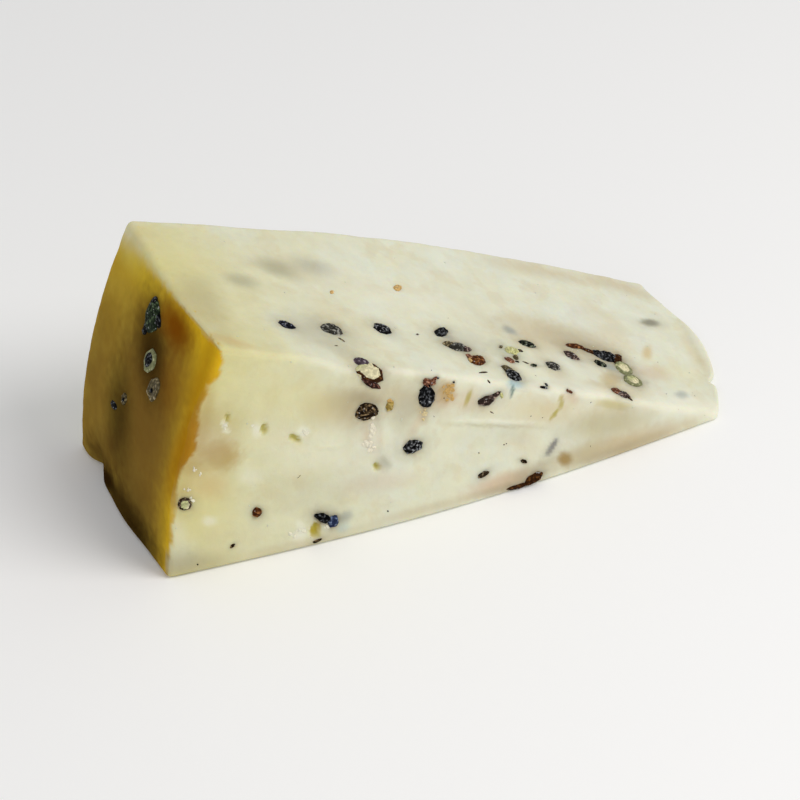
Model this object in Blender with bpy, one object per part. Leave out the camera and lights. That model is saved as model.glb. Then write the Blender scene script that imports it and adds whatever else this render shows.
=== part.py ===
"""A wedge of pepper gouda lying on one of its cut faces.

The wedge comes from half the thickness of a small wheel. The rind of the wheel's rim is the left end,
the broken tip of the wedge is the thin right end, and every other face is a knife cut.
Cracked peppercorns stand a little proud of the faces, and small eyes are open in the paste.
+X runs from the rim to the tip, +Y from the front face to the back one, +Z up.
"""

import math
import random

import bmesh
import bpy
from mathutils import Matrix, Vector, noise

MM = 0.001

# The wedge, measured from the front foot of the rim
FRONT_LENGTH = 125 * MM
BACK_LENGTH = 134.6 * MM
WIDTH = 49 * MM
RIM_HEIGHT = 51.8 * MM
TIP_FRONT_THICKNESS = 2.2 * MM
TIP_BACK_THICKNESS = 3.2 * MM
LEAST_THICKNESS = 1.5 * MM
EDGE_RADIUS = 1.3 * MM

# How far the faces leave their planes
RIM_LEAN = 13.5 * MM
RIM_BULGE = 2.9 * MM
RIM_ROUNDING = 0.8 * MM
RIM_BACK_RISE = 1.2 * MM
FOOT_BULGE = 4.0 * MM
FOOT_FLARE = 0.5 * MM
BACK_FOOT_BULGE = 1.5 * MM
TOP_EDGE_HOLLOW = 0.8 * MM
BACK_CROWN = 3.2 * MM
TIP_BULGE = 6.6 * MM
WAVE_HEIGHT = 0.35 * MM
WAVE_LENGTH = 17 * MM
# Where the waves along each axis are read from one noise
WAVE_SHIFTS = (Vector((0.4, 0.7, 0.2)), Vector((31.4, 7.2, 11.9)), Vector((5.3, 41.8, 23.6)))
FLAT_FOOT_HEIGHT = 4 * MM

# Local damage, each with its place and spread as fractions of the wedge, and its depth
TIP_NICK = (0.235, 0.030, 1.5 * MM)
EDGE_DIP = (0.25, 0.055, 1.7 * MM)
FOOT_DENT = (0.80, 0.065, 2.4 * MM)
FOOT_SWELL = (0.42, 0.170, 0.5 * MM)
EDGE_DIP_REACH = 0.09
FOOT_DAMAGE_REACH = 0.12

# Peppercorns on each face: the distances along it and across or up it, and the length of the corn, in mm
TOP_CORNS = (
    (21, 13, 4.0), (31, 13, 4.5), (43, 14, 4.5), (35, 1, 5.5), (58, 16, 3.5), (60, 11, 5.5), (63, 7, 4.0),
    (71, 3, 4.5), (82, 8, 4.0), (91, 16, 3.5), (98, 14, 5.0), (102, 11, 3.5), (103, 6, 4.0), (99, 2, 3.5),
)
FRONT_CORNS = (
    (38, 28, 4.5), (51, 27, 5.0), (51, 17, 4.5), (66, 22, 5.0), (33, 6, 4.5), (68, 6, 3.0), (81, 2, 4.0),
    (18, 11, 2.5),
)
RIM_CORNS = ((26, 44, 6.0), (22, 37, 4.0), (17, 33, 4.0), (31, 21, 3.0), (3, 18, 3.5))

# Peppercorns spread by chance over the back, and small pieces of them along the front of the top
BACK_CORN_COUNT = 12
BACK_CORN_SIZES = (2.5, 5.5)
BACK_CORN_SPAN = (14, 112)
BACK_CORN_BAND = (0.25, 0.8)
SMALL_CORN_COUNT = 14
SMALL_CORN_SIZES = (1.6, 2.6)
SMALL_CORN_SPAN = (25, 112)
SMALL_CORN_BAND = (4, 20)

# The shape of a peppercorn, and how much of its thickness stands proud
CORN_FLATNESS = 0.72
CORN_SHOWING = 0.32
CORN_ROUGHNESS = 0.13

# Eyes in the front face, the same way
FRONT_EYES = ((8, 35, 1.8), (16, 30, 2.4), (24, 26, 2.6), (44, 15, 1.6), (31, 4, 2.2))
EYE_DEPTH_SHARE = 0.35

CELL = 3.1 * MM
SEED = 11

# The origin is the middle of the wedge's base
BASE_CENTRE = Vector((67.9, 23.2, 0)) * MM

# Colours are sRGB
PASTE = ("gouda_paste", (219, 214, 183), 0.5)
RIND = ("gouda_rind", (158, 122, 42), 0.45)
PEPPER = ("peppercorn", (38, 34, 36), 0.6)
SMOOTH_ANGLE = math.radians(35)


def blend(start, end, share):
    return start + (end - start) * share


def bump(at, centre, spread):
    """A smooth bump, 1 at its centre and next to nothing 2.5 spreads away."""
    return math.exp(-(((at - centre) / spread) ** 2))


def clear_scene():
    for obj in list(bpy.data.objects):
        bpy.data.objects.remove(obj)


def linear(value):
    """One channel of an sRGB colour, 0 to 255, as Blender's linear light."""
    share = value / 255
    return share / 12.92 if share <= 0.04045 else ((share + 0.055) / 1.055) ** 2.4


def material(name, colour, roughness):
    made = bpy.data.materials.new(name)
    made.use_nodes = True
    shader = made.node_tree.nodes["Principled BSDF"]
    shader.inputs["Base Color"].default_value = (*(linear(v) for v in colour), 1)
    shader.inputs["Roughness"].default_value = roughness
    shader.inputs["Metallic"].default_value = 0
    return made


# The wedge is a unit box bent to shape: a runs from rim to tip, b from foot to top, c from front to back


def straight_tip(c):
    return blend(FRONT_LENGTH, BACK_LENGTH, c)


def tip_place(c):
    """How far the broken tip reaches: an uneven bow, fuller in front, with a nick."""
    bow = TIP_BULGE * max(0.0, math.sin(math.pi * c)) ** blend(0.6, 1.5, c)
    place, spread, depth = TIP_NICK
    return straight_tip(c) + bow - depth * bump(c, place, spread)


def top_height(a, c):
    """The height of the top face, which runs on evenly where the tip reaches past its straight line."""
    tip_thickness = blend(TIP_FRONT_THICKNESS, TIP_BACK_THICKNESS, c)
    slope = blend(RIM_HEIGHT, tip_thickness, a * tip_place(c) / straight_tip(c))
    crown = (BACK_CROWN * math.sin(math.pi * a) + RIM_BACK_RISE * (1 - a)) * c * c
    place, spread, depth = EDGE_DIP
    dip = depth * bump(a, place, spread) * bump(c, 0, EDGE_DIP_REACH)
    return max(LEAST_THICKNESS, slope + crown - dip)


def rim_place(b, c):
    """How far the rind stands from the plane x = 0: it leans, and is round both ways like a wheel's rim."""
    lean = RIM_LEAN * b - RIM_BULGE * math.sin(math.pi * b) - RIM_ROUNDING * math.sin(math.pi * c)
    dent_place, dent_spread, dent_depth = FOOT_DENT
    swell_place, swell_spread, swell_depth = FOOT_SWELL
    damage = dent_depth * bump(c, dent_place, dent_spread) - swell_depth * bump(c, swell_place, swell_spread)
    return lean + damage * bump(b, 0, FOOT_DAMAGE_REACH)


def front_place(a, b):
    return blend(-FOOT_BULGE, TOP_EDGE_HOLLOW, b) * math.sin(math.pi * a) - FOOT_FLARE * (1 - b)


def back_place(a, b):
    return WIDTH + BACK_FOOT_BULGE * (1 - b) * math.sin(math.pi * a)


def waves(point):
    """The slow unevenness of a knife cut, with none of it at the foot, which stays flat."""
    free = min(1.0, max(0.0, point.z / FLAT_FOOT_HEIGHT))
    swell = Vector([noise.noise(point / WAVE_LENGTH + shift) for shift in WAVE_SHIFTS])
    return swell * WAVE_HEIGHT * free


def wedge_point(a, b, c):
    """Where a point of the unit box's surface lies on the wedge, with its edges rounded."""
    size = Vector((FRONT_LENGTH, top_height(a, c), WIDTH))
    radius = min(EDGE_RADIUS, 0.45 * size.y)
    at = Vector((a * size.x, b * size.y, c * size.z))
    inner = Vector(min(max(v, radius), s - radius) for v, s in zip(at, size))
    out = at - inner
    if out.length > 0:
        at = inner + out.normalized() * radius
    a, b, c = (v / s for v, s in zip(at, size))
    x = blend(rim_place(b, c), tip_place(c), a)
    y = blend(front_place(a, b), back_place(a, b), c)
    point = Vector((x, y, b * top_height(a, c)))
    return point + waves(point) - BASE_CENTRE


def spaced(length):
    """Fractions of a length: its ends, a rounded edge's width in from each, and even steps between."""
    if length < 4 * EDGE_RADIUS:
        return [0, 0.5, 1]
    steps = max(1, round((length - 2 * EDGE_RADIUS) / CELL))
    between = [blend(EDGE_RADIUS, length - EDGE_RADIUS, i / steps) / length for i in range(steps + 1)]
    return [0, *between, 1]


class WedgeMesh:
    """Collects the faces of the unit box, which share the points that they have in common."""

    def __init__(self):
        self.mesh = bmesh.new()
        self.points = {}

    def point(self, a, b, c):
        key = (round(a, 6), round(b, 6), round(c, 6))
        if key not in self.points:
            self.points[key] = self.mesh.verts.new(wedge_point(a, b, c))
        return self.points[key]

    def face(self, corners, slot=0):
        made = self.mesh.faces.new([self.point(*corner) for corner in corners])
        made.material_index = slot

    def sheet(self, place, rows, columns, slot=0):
        """One side of the box as a grid, where place(row, column) gives the box coordinates."""
        for r0, r1 in zip(rows, rows[1:]):
            for c0, c1 in zip(columns, columns[1:]):
                self.face([place(r0, c0), place(r0, c1), place(r1, c1), place(r1, c0)], slot)

    def strip(self, left, left_heights, right, right_heights, c):
        """Triangles between two columns of the front or the back, which may differ in their points."""
        i, j = 0, 0
        while i < len(left_heights) - 1 or j < len(right_heights) - 1:
            corners = [(left, left_heights[i], c), (right, right_heights[j], c)]
            right_done = j == len(right_heights) - 1
            left_done = i == len(left_heights) - 1
            if right_done or (not left_done and left_heights[i + 1] <= right_heights[j + 1]):
                i += 1
                corners.append((left, left_heights[i], c))
            else:
                j += 1
                corners.append((right, right_heights[j], c))
            self.face(corners)


def new_object(name, bmesh_made, materials):
    mesh = bpy.data.meshes.new(name)
    bmesh_made.to_mesh(mesh)
    bmesh_made.free()
    for each in materials:
        mesh.materials.append(each)
    return bpy.data.objects.new(name, mesh)


def wedge(name, materials):
    """The cheese without its peppercorns and eyes, as one closed mesh."""
    built = WedgeMesh()
    along = spaced(FRONT_LENGTH)
    across = spaced(WIDTH)
    heights = [spaced(top_height(a, 0)) for a in along]
    built.sheet(lambda a, c: (a, 1, c), along, across)
    built.sheet(lambda a, c: (a, 0, c), along, across)
    built.sheet(lambda b, c: (0, b, c), heights[0], across, slot=1)
    built.sheet(lambda b, c: (1, b, c), heights[-1], across)
    for c in (0, 1):
        for i in range(len(along) - 1):
            built.strip(along[i], heights[i], along[i + 1], heights[i + 1], c)
    bmesh.ops.recalc_face_normals(built.mesh, faces=built.mesh.faces)
    return new_object(name, built.mesh, materials)


def on_top(along, across):
    """A place on the top face, measured in mm from the rind and the front edge, and the way out there."""
    outward = Vector((RIM_HEIGHT - TIP_FRONT_THICKNESS, 0, FRONT_LENGTH))
    return wedge_point(along * MM / FRONT_LENGTH, 1, across * MM / WIDTH), outward


def on_side(along, up, c):
    """The same on the front face, c = 0, or the back one, c = 1, from the rind and the foot."""
    a = along * MM / FRONT_LENGTH
    return wedge_point(a, up * MM / top_height(a, c), c), Vector((0, 2 * c - 1, 0))


def on_rim(across, up):
    """The same on the rind, from the front edge and the foot."""
    return wedge_point(0, up * MM / RIM_HEIGHT, across * MM / WIDTH), Vector((-RIM_HEIGHT, 0, RIM_LEAN))


def pebble(name, place, outward, length, draw, materials, showing=CORN_SHOWING):
    """A rough, flattened grain sunk in a face, so that a share of its thickness shows."""
    grain = bmesh.new()
    bmesh.ops.create_uvsphere(grain, u_segments=6, v_segments=4, radius=length * MM / 2)
    for vert in grain.verts:
        vert.co *= 1 + draw.uniform(-CORN_ROUGHNESS, CORN_ROUGHNESS)
    thickness = length * MM * CORN_FLATNESS
    width = draw.uniform(CORN_FLATNESS, 1)
    spin = Matrix.Rotation(draw.uniform(0, math.tau), 4, "Z")
    squash = Matrix.Diagonal((1, width, CORN_FLATNESS, 1))
    turn = outward.to_track_quat("Z", "Y").to_matrix().to_4x4()
    centre = place + outward.normalized() * thickness * (showing - 0.5)
    grain.transform(Matrix.Translation(centre) @ turn @ spin @ squash)
    return new_object(name, grain, materials)


def all_corn_places(draw):
    """Place, outward direction and length of every peppercorn."""
    for along, across, length in TOP_CORNS:
        yield *on_top(along, across), length
    for along, up, length in FRONT_CORNS:
        yield *on_side(along, up, 0), length
    for across, up, length in RIM_CORNS:
        yield *on_rim(across, up), length
    for i in range(BACK_CORN_COUNT):
        along = blend(*BACK_CORN_SPAN, (i + draw.random()) / BACK_CORN_COUNT)
        room = top_height(along * MM / FRONT_LENGTH, 1) / MM
        yield *on_side(along, room * draw.uniform(*BACK_CORN_BAND), 1), draw.uniform(*BACK_CORN_SIZES)
    for i in range(SMALL_CORN_COUNT):
        along = blend(*SMALL_CORN_SPAN, (i + draw.random()) / SMALL_CORN_COUNT)
        yield *on_top(along, draw.uniform(*SMALL_CORN_BAND)), draw.uniform(*SMALL_CORN_SIZES)


def fuse(target, pieces, operation):
    """Joins the pieces to the target, or cuts them out of it, in one Boolean."""
    group = bpy.data.collections.new("pieces")
    for piece in pieces:
        group.objects.link(piece)
    boolean = target.modifiers.new("boolean", "BOOLEAN")
    boolean.operation = operation
    boolean.operand_type = "COLLECTION"
    boolean.collection = group
    boolean.solver = "EXACT"
    boolean.material_mode = "TRANSFER"
    evaluated = target.evaluated_get(bpy.context.evaluated_depsgraph_get())
    target.data = bpy.data.meshes.new_from_object(evaluated)
    target.modifiers.remove(boolean)
    for piece in pieces:
        bpy.data.objects.remove(piece)
    bpy.data.collections.remove(group)


def main():
    clear_scene()
    draw = random.Random(SEED)
    paste, rind, pepper = (material(*finish) for finish in (PASTE, RIND, PEPPER))
    cheese = wedge("pepper_gouda", [paste, rind])
    bpy.context.collection.objects.link(cheese)
    eyes = [
        pebble(f"eye_{i}", *on_side(along, up, 0), length, draw, [paste], 1 - EYE_DEPTH_SHARE)
        for i, (along, up, length) in enumerate(FRONT_EYES)
    ]
    fuse(cheese, eyes, "DIFFERENCE")
    corns = [
        pebble(f"corn_{i}", place, outward, length, draw, [pepper])
        for i, (place, outward, length) in enumerate(all_corn_places(draw))
    ]
    fuse(cheese, corns, "UNION")
    cheese.data.shade_smooth()
    cheese.data.set_sharp_from_angle(angle=SMOOTH_ANGLE)


main()
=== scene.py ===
"""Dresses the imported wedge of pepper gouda: paste, rind, eyes, peppercorns, crumbs, and the studio round it.

The wedge follows the same named sizes as the solid that it replaces, at a much finer grain. Marks that the
photograph shows are placed by their pixels: rays from the camera find their spots on the cheese, and each
is built on its spot, so that it fits the cheese from every side. The faces that the photograph hides get
marks of the same kinds by seeded chance.
"""

import math
import random

import bmesh
import bpy
import numpy as np
from mathutils import Matrix, Vector, noise
from mathutils.bvhtree import BVHTree


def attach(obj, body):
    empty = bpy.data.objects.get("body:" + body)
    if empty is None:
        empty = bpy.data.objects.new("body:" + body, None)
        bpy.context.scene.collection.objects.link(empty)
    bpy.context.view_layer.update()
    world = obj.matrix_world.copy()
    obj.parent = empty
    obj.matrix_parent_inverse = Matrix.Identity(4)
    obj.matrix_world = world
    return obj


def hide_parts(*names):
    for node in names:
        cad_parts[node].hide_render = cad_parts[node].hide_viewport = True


bl_info = {
    "name": "Pepper Gouda Wedge",
    "version": (1, 0, 0),
    "blender": (4, 5, 0),
    "location": "3D View > Sidebar > Gouda",
    "description": "Builds a wedge of pepper gouda with its rind, eyes, peppercorns and crumbs",
    "category": "Object",
}

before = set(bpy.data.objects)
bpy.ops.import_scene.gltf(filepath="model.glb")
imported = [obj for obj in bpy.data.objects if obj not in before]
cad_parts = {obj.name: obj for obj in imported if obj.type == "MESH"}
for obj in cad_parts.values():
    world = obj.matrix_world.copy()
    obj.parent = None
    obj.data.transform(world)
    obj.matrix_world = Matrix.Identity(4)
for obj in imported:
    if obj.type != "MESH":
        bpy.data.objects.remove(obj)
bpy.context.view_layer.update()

MM = 0.001
NODE = "pepper_gouda"
BODY = "root"

# The photograph's frame, in pixels
IMAGE_SIZE = 800
IMAGE_MIDDLE = IMAGE_SIZE / 2
SENSOR_WIDTH = 36

# The origin is the middle of the wedge's base, measured from the front foot of its rind
BASE_CENTRE = Vector((67.9, 23.2, 0)) * MM


def blend(start, end, share):
    return start + (end - start) * share


def bump(at, centre, spread):
    """A smooth bump, 1 at its centre and next to nothing 2.5 spreads away."""
    return math.exp(-(((at - centre) / spread) ** 2))


def clamped(value, low=0.0, high=1.0):
    return min(high, max(low, value))


def smooth_step(low, high, value):
    """Smoothly from 0 at low to 1 at high, for a number or an array."""
    share = np.clip((value - low) / (high - low), 0, 1)
    return share * share * (3 - 2 * share)


def linear(colour):
    """An sRGB colour, 0 to 255, as linear light."""
    shares = (value / 255 for value in colour)
    return tuple(s / 12.92 if s <= 0.04045 else ((s + 0.055) / 1.055) ** 2.4 for s in shares)


# Settings


def length_property(name, description, millimetres):
    return bpy.props.FloatProperty(
        name=name, description=description, default=millimetres * MM, subtype="DISTANCE", unit="LENGTH"
    )


def colour_property(name, description, srgb):
    return bpy.props.FloatVectorProperty(
        name=name, description=description, default=linear(srgb), size=3, subtype="COLOR", min=0, max=1
    )


class WedgeSizes(bpy.types.PropertyGroup):
    """The wedge as cut, measured from the front foot of its rind."""

    front_length: length_property("Front length", "From the rind's front foot to the tip", 125)
    back_length: length_property("Back length", "The same along the back", 134.6)
    width: length_property("Width", "Between the front and the back cut", 49)
    rim_height: length_property("Rim height", "Height of the rind end", 51.8)
    tip_front: length_property("Tip thickness, front", "Thickness of the broken tip in front", 2.2)
    tip_back: length_property("Tip thickness, back", "Thickness of the broken tip behind", 3.2)
    least_thickness: length_property("Least thickness", "Thickness of the thinnest edge", 1.5)
    edge_radius: length_property("Edge radius", "How round the cut edges are", 1.3)
    rim_lean: length_property("Rim lean", "How far the rind leans in at its top", 13.5)
    rim_bulge: length_property("Rim bulge", "How far the rind bows out, foot to top", 2.9)
    rim_rounding: length_property("Rim rounding", "How far the rind bows out, front to back", 0.8)
    rim_back_rise: length_property("Rim back rise", "How much higher the rind stands at the back", 1.2)
    foot_bulge: length_property("Foot bulge", "How far the front's foot bows out", 4.0)
    foot_flare: length_property("Foot flare", "How far the whole front's foot stands out", 0.5)
    back_foot_bulge: length_property("Back foot bulge", "How far the back's foot bows out", 1.5)
    top_edge_hollow: length_property("Top edge hollow", "How far the top front edge bows in", 0.8)
    back_crown: length_property("Back crown", "How far the top bows up at the back", 3.2)
    tip_bulge: length_property("Tip bulge", "How far the broken tip bows out", 6.6)
    cell: length_property("Cell", "Size of the mesh's cells", 0.54)


class PasteLooks(bpy.types.PropertyGroup):
    """Colours of the paste and the rind."""

    pale: colour_property("Pale paste", "Paste at the heart of the wedge", (221, 221, 198))
    yellow: colour_property("Yellow paste", "Paste near the rind", (214, 207, 148))
    warm: colour_property("Warm blotches", "Soft blotches in the paste", (208, 192, 158))
    cool: colour_property("Cool blotches", "Whitish blotches in the paste", (222, 226, 212))
    # Painted highlight: the pale band along the top front edge, where its rounding catches the light. The fine
    # crumbs take this colour too
    edge: colour_property("Dry edge", "Paste along the cut edge that has dried pale", (228, 227, 207))
    # Painted glow: the amber that the rind takes along its top and front edges, where light comes through the
    # paste
    amber: colour_property("Amber rind", "The rind where light comes through", (218, 177, 35))
    brown: colour_property("Brown rind", "The rind where it is thick", (166, 139, 58))
    dark: colour_property("Dark rind", "The rind's dark patches", (144, 115, 46))
    halo: colour_property("Halo", "Paste that pepper has coloured", (150, 140, 116))
    roughness: bpy.props.FloatProperty(
        name="Roughness", description="Roughness of the cut paste", default=0.44, min=0, max=1
    )


class PepperLooks(bpy.types.PropertyGroup):
    """The peppercorns: their colours inside, how they stand in the cheese, and how many lie out of sight."""

    # Painted glints: the pale flecks scattered over a husk stand in for the light it catches
    fleck: colour_property("Fleck", "The bright flecks on a husk", (200, 202, 202))
    kernel: colour_property("Kernel", "The floury inside of a cut peppercorn", (219, 211, 173))
    green_kernel: colour_property("Green kernel", "The same where it is unripe", (184, 186, 136))
    proud: length_property("Proud", "How far a peppercorn stands out of the cut", 0.45)
    sunk: length_property("Sunk", "How deep a peppercorn's sides reach into the paste", 0.8)
    socket: length_property("Socket", "How deep the paste sinks around a peppercorn", 0.25)
    hidden_corns: bpy.props.IntProperty(
        name="Hidden corns", description="Peppercorns on the back face, and as many underneath",
        default=18, min=0,
    )
    hidden_eyes: bpy.props.IntProperty(
        name="Hidden eyes", description="Eyes in the back face", default=7, min=0
    )
    hidden_seed: bpy.props.IntProperty(
        name="Hidden seed", description="Seed of the hidden faces' marks", default=7
    )


class CrumbLooks(bpy.types.PropertyGroup):
    """What crumbles off the peppercorns and the cheese."""

    dust_density: bpy.props.FloatProperty(
        name="Dust density", description="Grains of pepper on a square metre where it is thickest",
        default=16000, min=0,
    )
    dust_size: length_property("Dust size", "Length of a grain of pepper dust", 0.26)
    dust_seed: bpy.props.IntProperty(name="Dust seed", description="Seed of the pepper dust", default=4)
    crumb_density: bpy.props.FloatProperty(
        name="Crumb density", description="Crumbs of cheese on a square metre where they are thickest",
        default=26000, min=0,
    )
    crumb_size: length_property("Crumb size", "Length of a crumb of cheese", 0.42)
    crumb_seed: bpy.props.IntProperty(name="Crumb seed", description="Seed of the cheese crumbs", default=9)


class StageLooks(bpy.types.PropertyGroup):
    """The camera, the floor and the lights."""

    lens: bpy.props.FloatProperty(name="Lens", description="Focal length", default=135, unit="CAMERA")
    azimuth: bpy.props.FloatProperty(
        name="Azimuth", description="Turn of the view from +Y", default=math.radians(-25.21), subtype="ANGLE"
    )
    elevation: bpy.props.FloatProperty(
        name="Elevation", description="How far the view looks down",
        default=math.radians(35.82), subtype="ANGLE",
    )
    camera_place: bpy.props.FloatVectorProperty(
        name="Camera place", description="Where the camera stands",
        default=tuple(Vector((-154.95, -437.95, 377.47)) * MM - BASE_CENTRE),
        size=3, subtype="TRANSLATION", unit="LENGTH",
    )
    floor: colour_property("Floor", "Colour of the floor", (251, 251, 251))
    key_power: bpy.props.FloatProperty(
        name="Key light", description="Power of the large soft light", default=4.1, min=0, unit="POWER"
    )
    fill_power: bpy.props.FloatProperty(
        name="Fill light", description="Power of the light on the rind's side",
        default=0.8, min=0, unit="POWER",
    )
    sky_strength: bpy.props.FloatProperty(
        name="Sky", description="Strength of the even light from all around", default=0.51, min=0
    )


# The wedge is a unit box bent to shape: a runs from rim to tip, b from foot to top, c from front to back


class WedgeShape:
    """The wedge's form, worked out from its sizes."""

    # Local damage, each with its place and spread as fractions of the wedge, and its depth
    TIP_NICK = (0.235, 0.030, 1.5 * MM)
    EDGE_DIP = (0.25, 0.055, 1.7 * MM)
    FOOT_DENT = (0.80, 0.065, 2.4 * MM)
    FOOT_SWELL = (0.42, 0.170, 0.5 * MM)
    EDGE_DIP_REACH = 0.09
    FOOT_DAMAGE_REACH = 0.12

    # How full the tip's bow is, in front and at the back
    TIP_FULLNESS = (0.6, 1.5)

    WAVE_HEIGHT = 0.35 * MM
    WAVE_LENGTH = 17 * MM
    # Where the waves along each axis are read from one noise
    WAVE_SHIFTS = (Vector((0.4, 0.7, 0.2)), Vector((31.4, 7.2, 11.9)), Vector((5.3, 41.8, 23.6)))
    FLAT_FOOT_HEIGHT = 4 * MM
    EDGE_STEPS = 3
    # The largest share of a thickness that the rounding of one edge takes up
    EDGE_SHARE = 0.45

    def __init__(self, sizes, cell=None):
        for name in WedgeSizes.__annotations__:
            setattr(self, name, getattr(sizes, name))
        self.cell = cell or self.cell

    def straight_tip(self, c):
        return blend(self.front_length, self.back_length, c)

    def tip_place(self, c):
        bow = self.tip_bulge * max(0.0, math.sin(math.pi * c)) ** blend(*self.TIP_FULLNESS, c)
        place, spread, depth = self.TIP_NICK
        return self.straight_tip(c) + bow - depth * bump(c, place, spread)

    def top_height(self, a, c):
        tip_thickness = blend(self.tip_front, self.tip_back, c)
        slope = blend(self.rim_height, tip_thickness, a * self.tip_place(c) / self.straight_tip(c))
        crown = (self.back_crown * math.sin(math.pi * a) + self.rim_back_rise * (1 - a)) * c * c
        place, spread, depth = self.EDGE_DIP
        dip = depth * bump(a, place, spread) * bump(c, 0, self.EDGE_DIP_REACH)
        return max(self.least_thickness, slope + crown - dip)

    def rim_place(self, b, c):
        bow = self.rim_bulge * math.sin(math.pi * b) + self.rim_rounding * math.sin(math.pi * c)
        dent_place, dent_spread, dent = self.FOOT_DENT
        swell_place, swell_spread, swell = self.FOOT_SWELL
        damage = dent * bump(c, dent_place, dent_spread) - swell * bump(c, swell_place, swell_spread)
        return self.rim_lean * b - bow + damage * bump(b, 0, self.FOOT_DAMAGE_REACH)

    def front_place(self, a, b):
        bow = blend(-self.foot_bulge, self.top_edge_hollow, b) * math.sin(math.pi * a)
        return bow - self.foot_flare * (1 - b)

    def back_place(self, a, b):
        return self.width + self.back_foot_bulge * (1 - b) * math.sin(math.pi * a)

    def waves(self, point):
        free = clamped(point.z / self.FLAT_FOOT_HEIGHT)
        swell = Vector([noise.noise(point / self.WAVE_LENGTH + shift) for shift in self.WAVE_SHIFTS])
        return swell * self.WAVE_HEIGHT * free

    def point(self, a, b, c):
        """Where a point of the unit box's surface lies on the wedge, with its edges rounded."""
        size = Vector((self.front_length, self.top_height(a, c), self.width))
        radius = min(self.edge_radius, self.EDGE_SHARE * size.y)
        at = Vector((a * size.x, b * size.y, c * size.z))
        inner = Vector(min(max(v, radius), s - radius) for v, s in zip(at, size))
        out = at - inner
        if out.length > 0:
            at = inner + out.normalized() * radius
        a, b, c = (v / s for v, s in zip(at, size))
        x = blend(self.rim_place(b, c), self.tip_place(c), a)
        y = blend(self.front_place(a, b), self.back_place(a, b), c)
        place = Vector((x, y, b * self.top_height(a, c)))
        return place + self.waves(place) - BASE_CENTRE

    def spaced(self, length):
        """Fractions of a length: close steps round each edge, and even ones between."""
        radius = min(self.edge_radius, self.EDGE_SHARE * length)
        turns = [math.pi / 4 * (1 - i / self.EDGE_STEPS) for i in range(self.EDGE_STEPS)]
        edge = [radius * (1 - math.tan(turn)) for turn in turns]
        steps = max(1, round((length - 2 * radius) / self.cell))
        between = [blend(radius, length - radius, i / steps) for i in range(steps + 1)]
        return [v / length for v in (*edge, *between, *(length - v for v in reversed(edge)))]


class WedgeMesh:
    """Collects the faces of the unit box, which share the points that they have in common."""

    def __init__(self, shape):
        self.shape = shape
        self.index = {}
        self.box_places = []
        self.faces = []

    def point(self, a, b, c):
        key = (round(a, 6), round(b, 6), round(c, 6))
        if key not in self.index:
            self.index[key] = len(self.box_places)
            self.box_places.append((a, b, c))
        return self.index[key]

    def sheet(self, place, rows, columns):
        """One side of the box as a grid, where place(row, column) gives the box coordinates."""
        for r0, r1 in zip(rows, rows[1:]):
            for c0, c1 in zip(columns, columns[1:]):
                corners = (place(r0, c0), place(r0, c1), place(r1, c1), place(r1, c0))
                self.faces.append([self.point(*corner) for corner in corners])

    def strip(self, left, left_heights, right, right_heights, c):
        """Triangles between two columns of the front or the back, which may differ in their points."""
        i, j = 0, 0
        while i < len(left_heights) - 1 or j < len(right_heights) - 1:
            corners = [(left, left_heights[i], c), (right, right_heights[j], c)]
            right_done = j == len(right_heights) - 1
            left_done = i == len(left_heights) - 1
            if right_done or (not left_done and left_heights[i + 1] <= right_heights[j + 1]):
                i += 1
                corners.append((left, left_heights[i], c))
            else:
                j += 1
                corners.append((right, right_heights[j], c))
            self.faces.append([self.point(*corner) for corner in corners])

    def build(self):
        shape = self.shape
        along = shape.spaced(shape.front_length)
        across = shape.spaced(shape.width)
        heights = [shape.spaced(shape.top_height(a, 0)) for a in along]
        self.sheet(lambda a, c: (a, 1, c), along, across)
        self.sheet(lambda a, c: (a, 0, c), along, across)
        self.sheet(lambda b, c: (0, b, c), heights[0], across)
        self.sheet(lambda b, c: (1, b, c), heights[-1], across)
        for c in (0, 1):
            for i in range(len(along) - 1):
                self.strip(along[i], heights[i], along[i + 1], heights[i + 1], c)
        mesh = bpy.data.meshes.new("gouda_wedge")
        mesh.from_pydata([shape.point(*place) for place in self.box_places], [], self.faces)
        outward(mesh)
        return mesh


def outward(mesh):
    """Turns every face of a closed mesh to point out."""
    whole = bmesh.new()
    whole.from_mesh(mesh)
    bmesh.ops.recalc_face_normals(whole, faces=whole.faces)
    whole.to_mesh(mesh)
    whole.free()
    mesh.shade_smooth()


def add_piece(context, name, mesh, material):
    """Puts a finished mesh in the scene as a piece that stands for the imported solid."""
    piece = bpy.data.objects.new(name, mesh)
    context.collection.objects.link(piece)
    mesh.materials.clear()
    mesh.materials.append(material)
    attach(piece, BODY)
    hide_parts(NODE)
    return piece


# Pixels of the photograph, found on the cheese


class Sight:
    """Rays from the camera to the cheese as it was before its peppercorns, and its nearest spots."""

    CELL = 1.5 * MM

    def __init__(self, context):
        camera = context.scene.camera
        self.shape = WedgeShape(context.scene.gouda_wedge, self.CELL)
        self.start = camera.matrix_world.translation.copy()
        turn = camera.matrix_world.to_3x3()
        self.right, self.up, self.ahead = turn.col[0], turn.col[1], -turn.col[2]
        self.focal = camera.data.lens / SENSOR_WIDTH * IMAGE_SIZE
        mesh = WedgeMesh(self.shape).build()
        places = [v.co.copy() for v in mesh.vertices]
        self.tree = BVHTree.FromPolygons(places, [p.vertices[:] for p in mesh.polygons])
        bpy.data.meshes.remove(mesh)

    def spot(self, x, y):
        """The place and the way out where the cheese shows at a pixel, or None off the cheese."""
        aside = self.right * (x - IMAGE_MIDDLE) / self.focal
        upward = self.up * (IMAGE_MIDDLE - y) / self.focal
        place, out, *_ = self.tree.ray_cast(self.start, (self.ahead + aside + upward).normalized())
        return (place, out) if place else None


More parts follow.
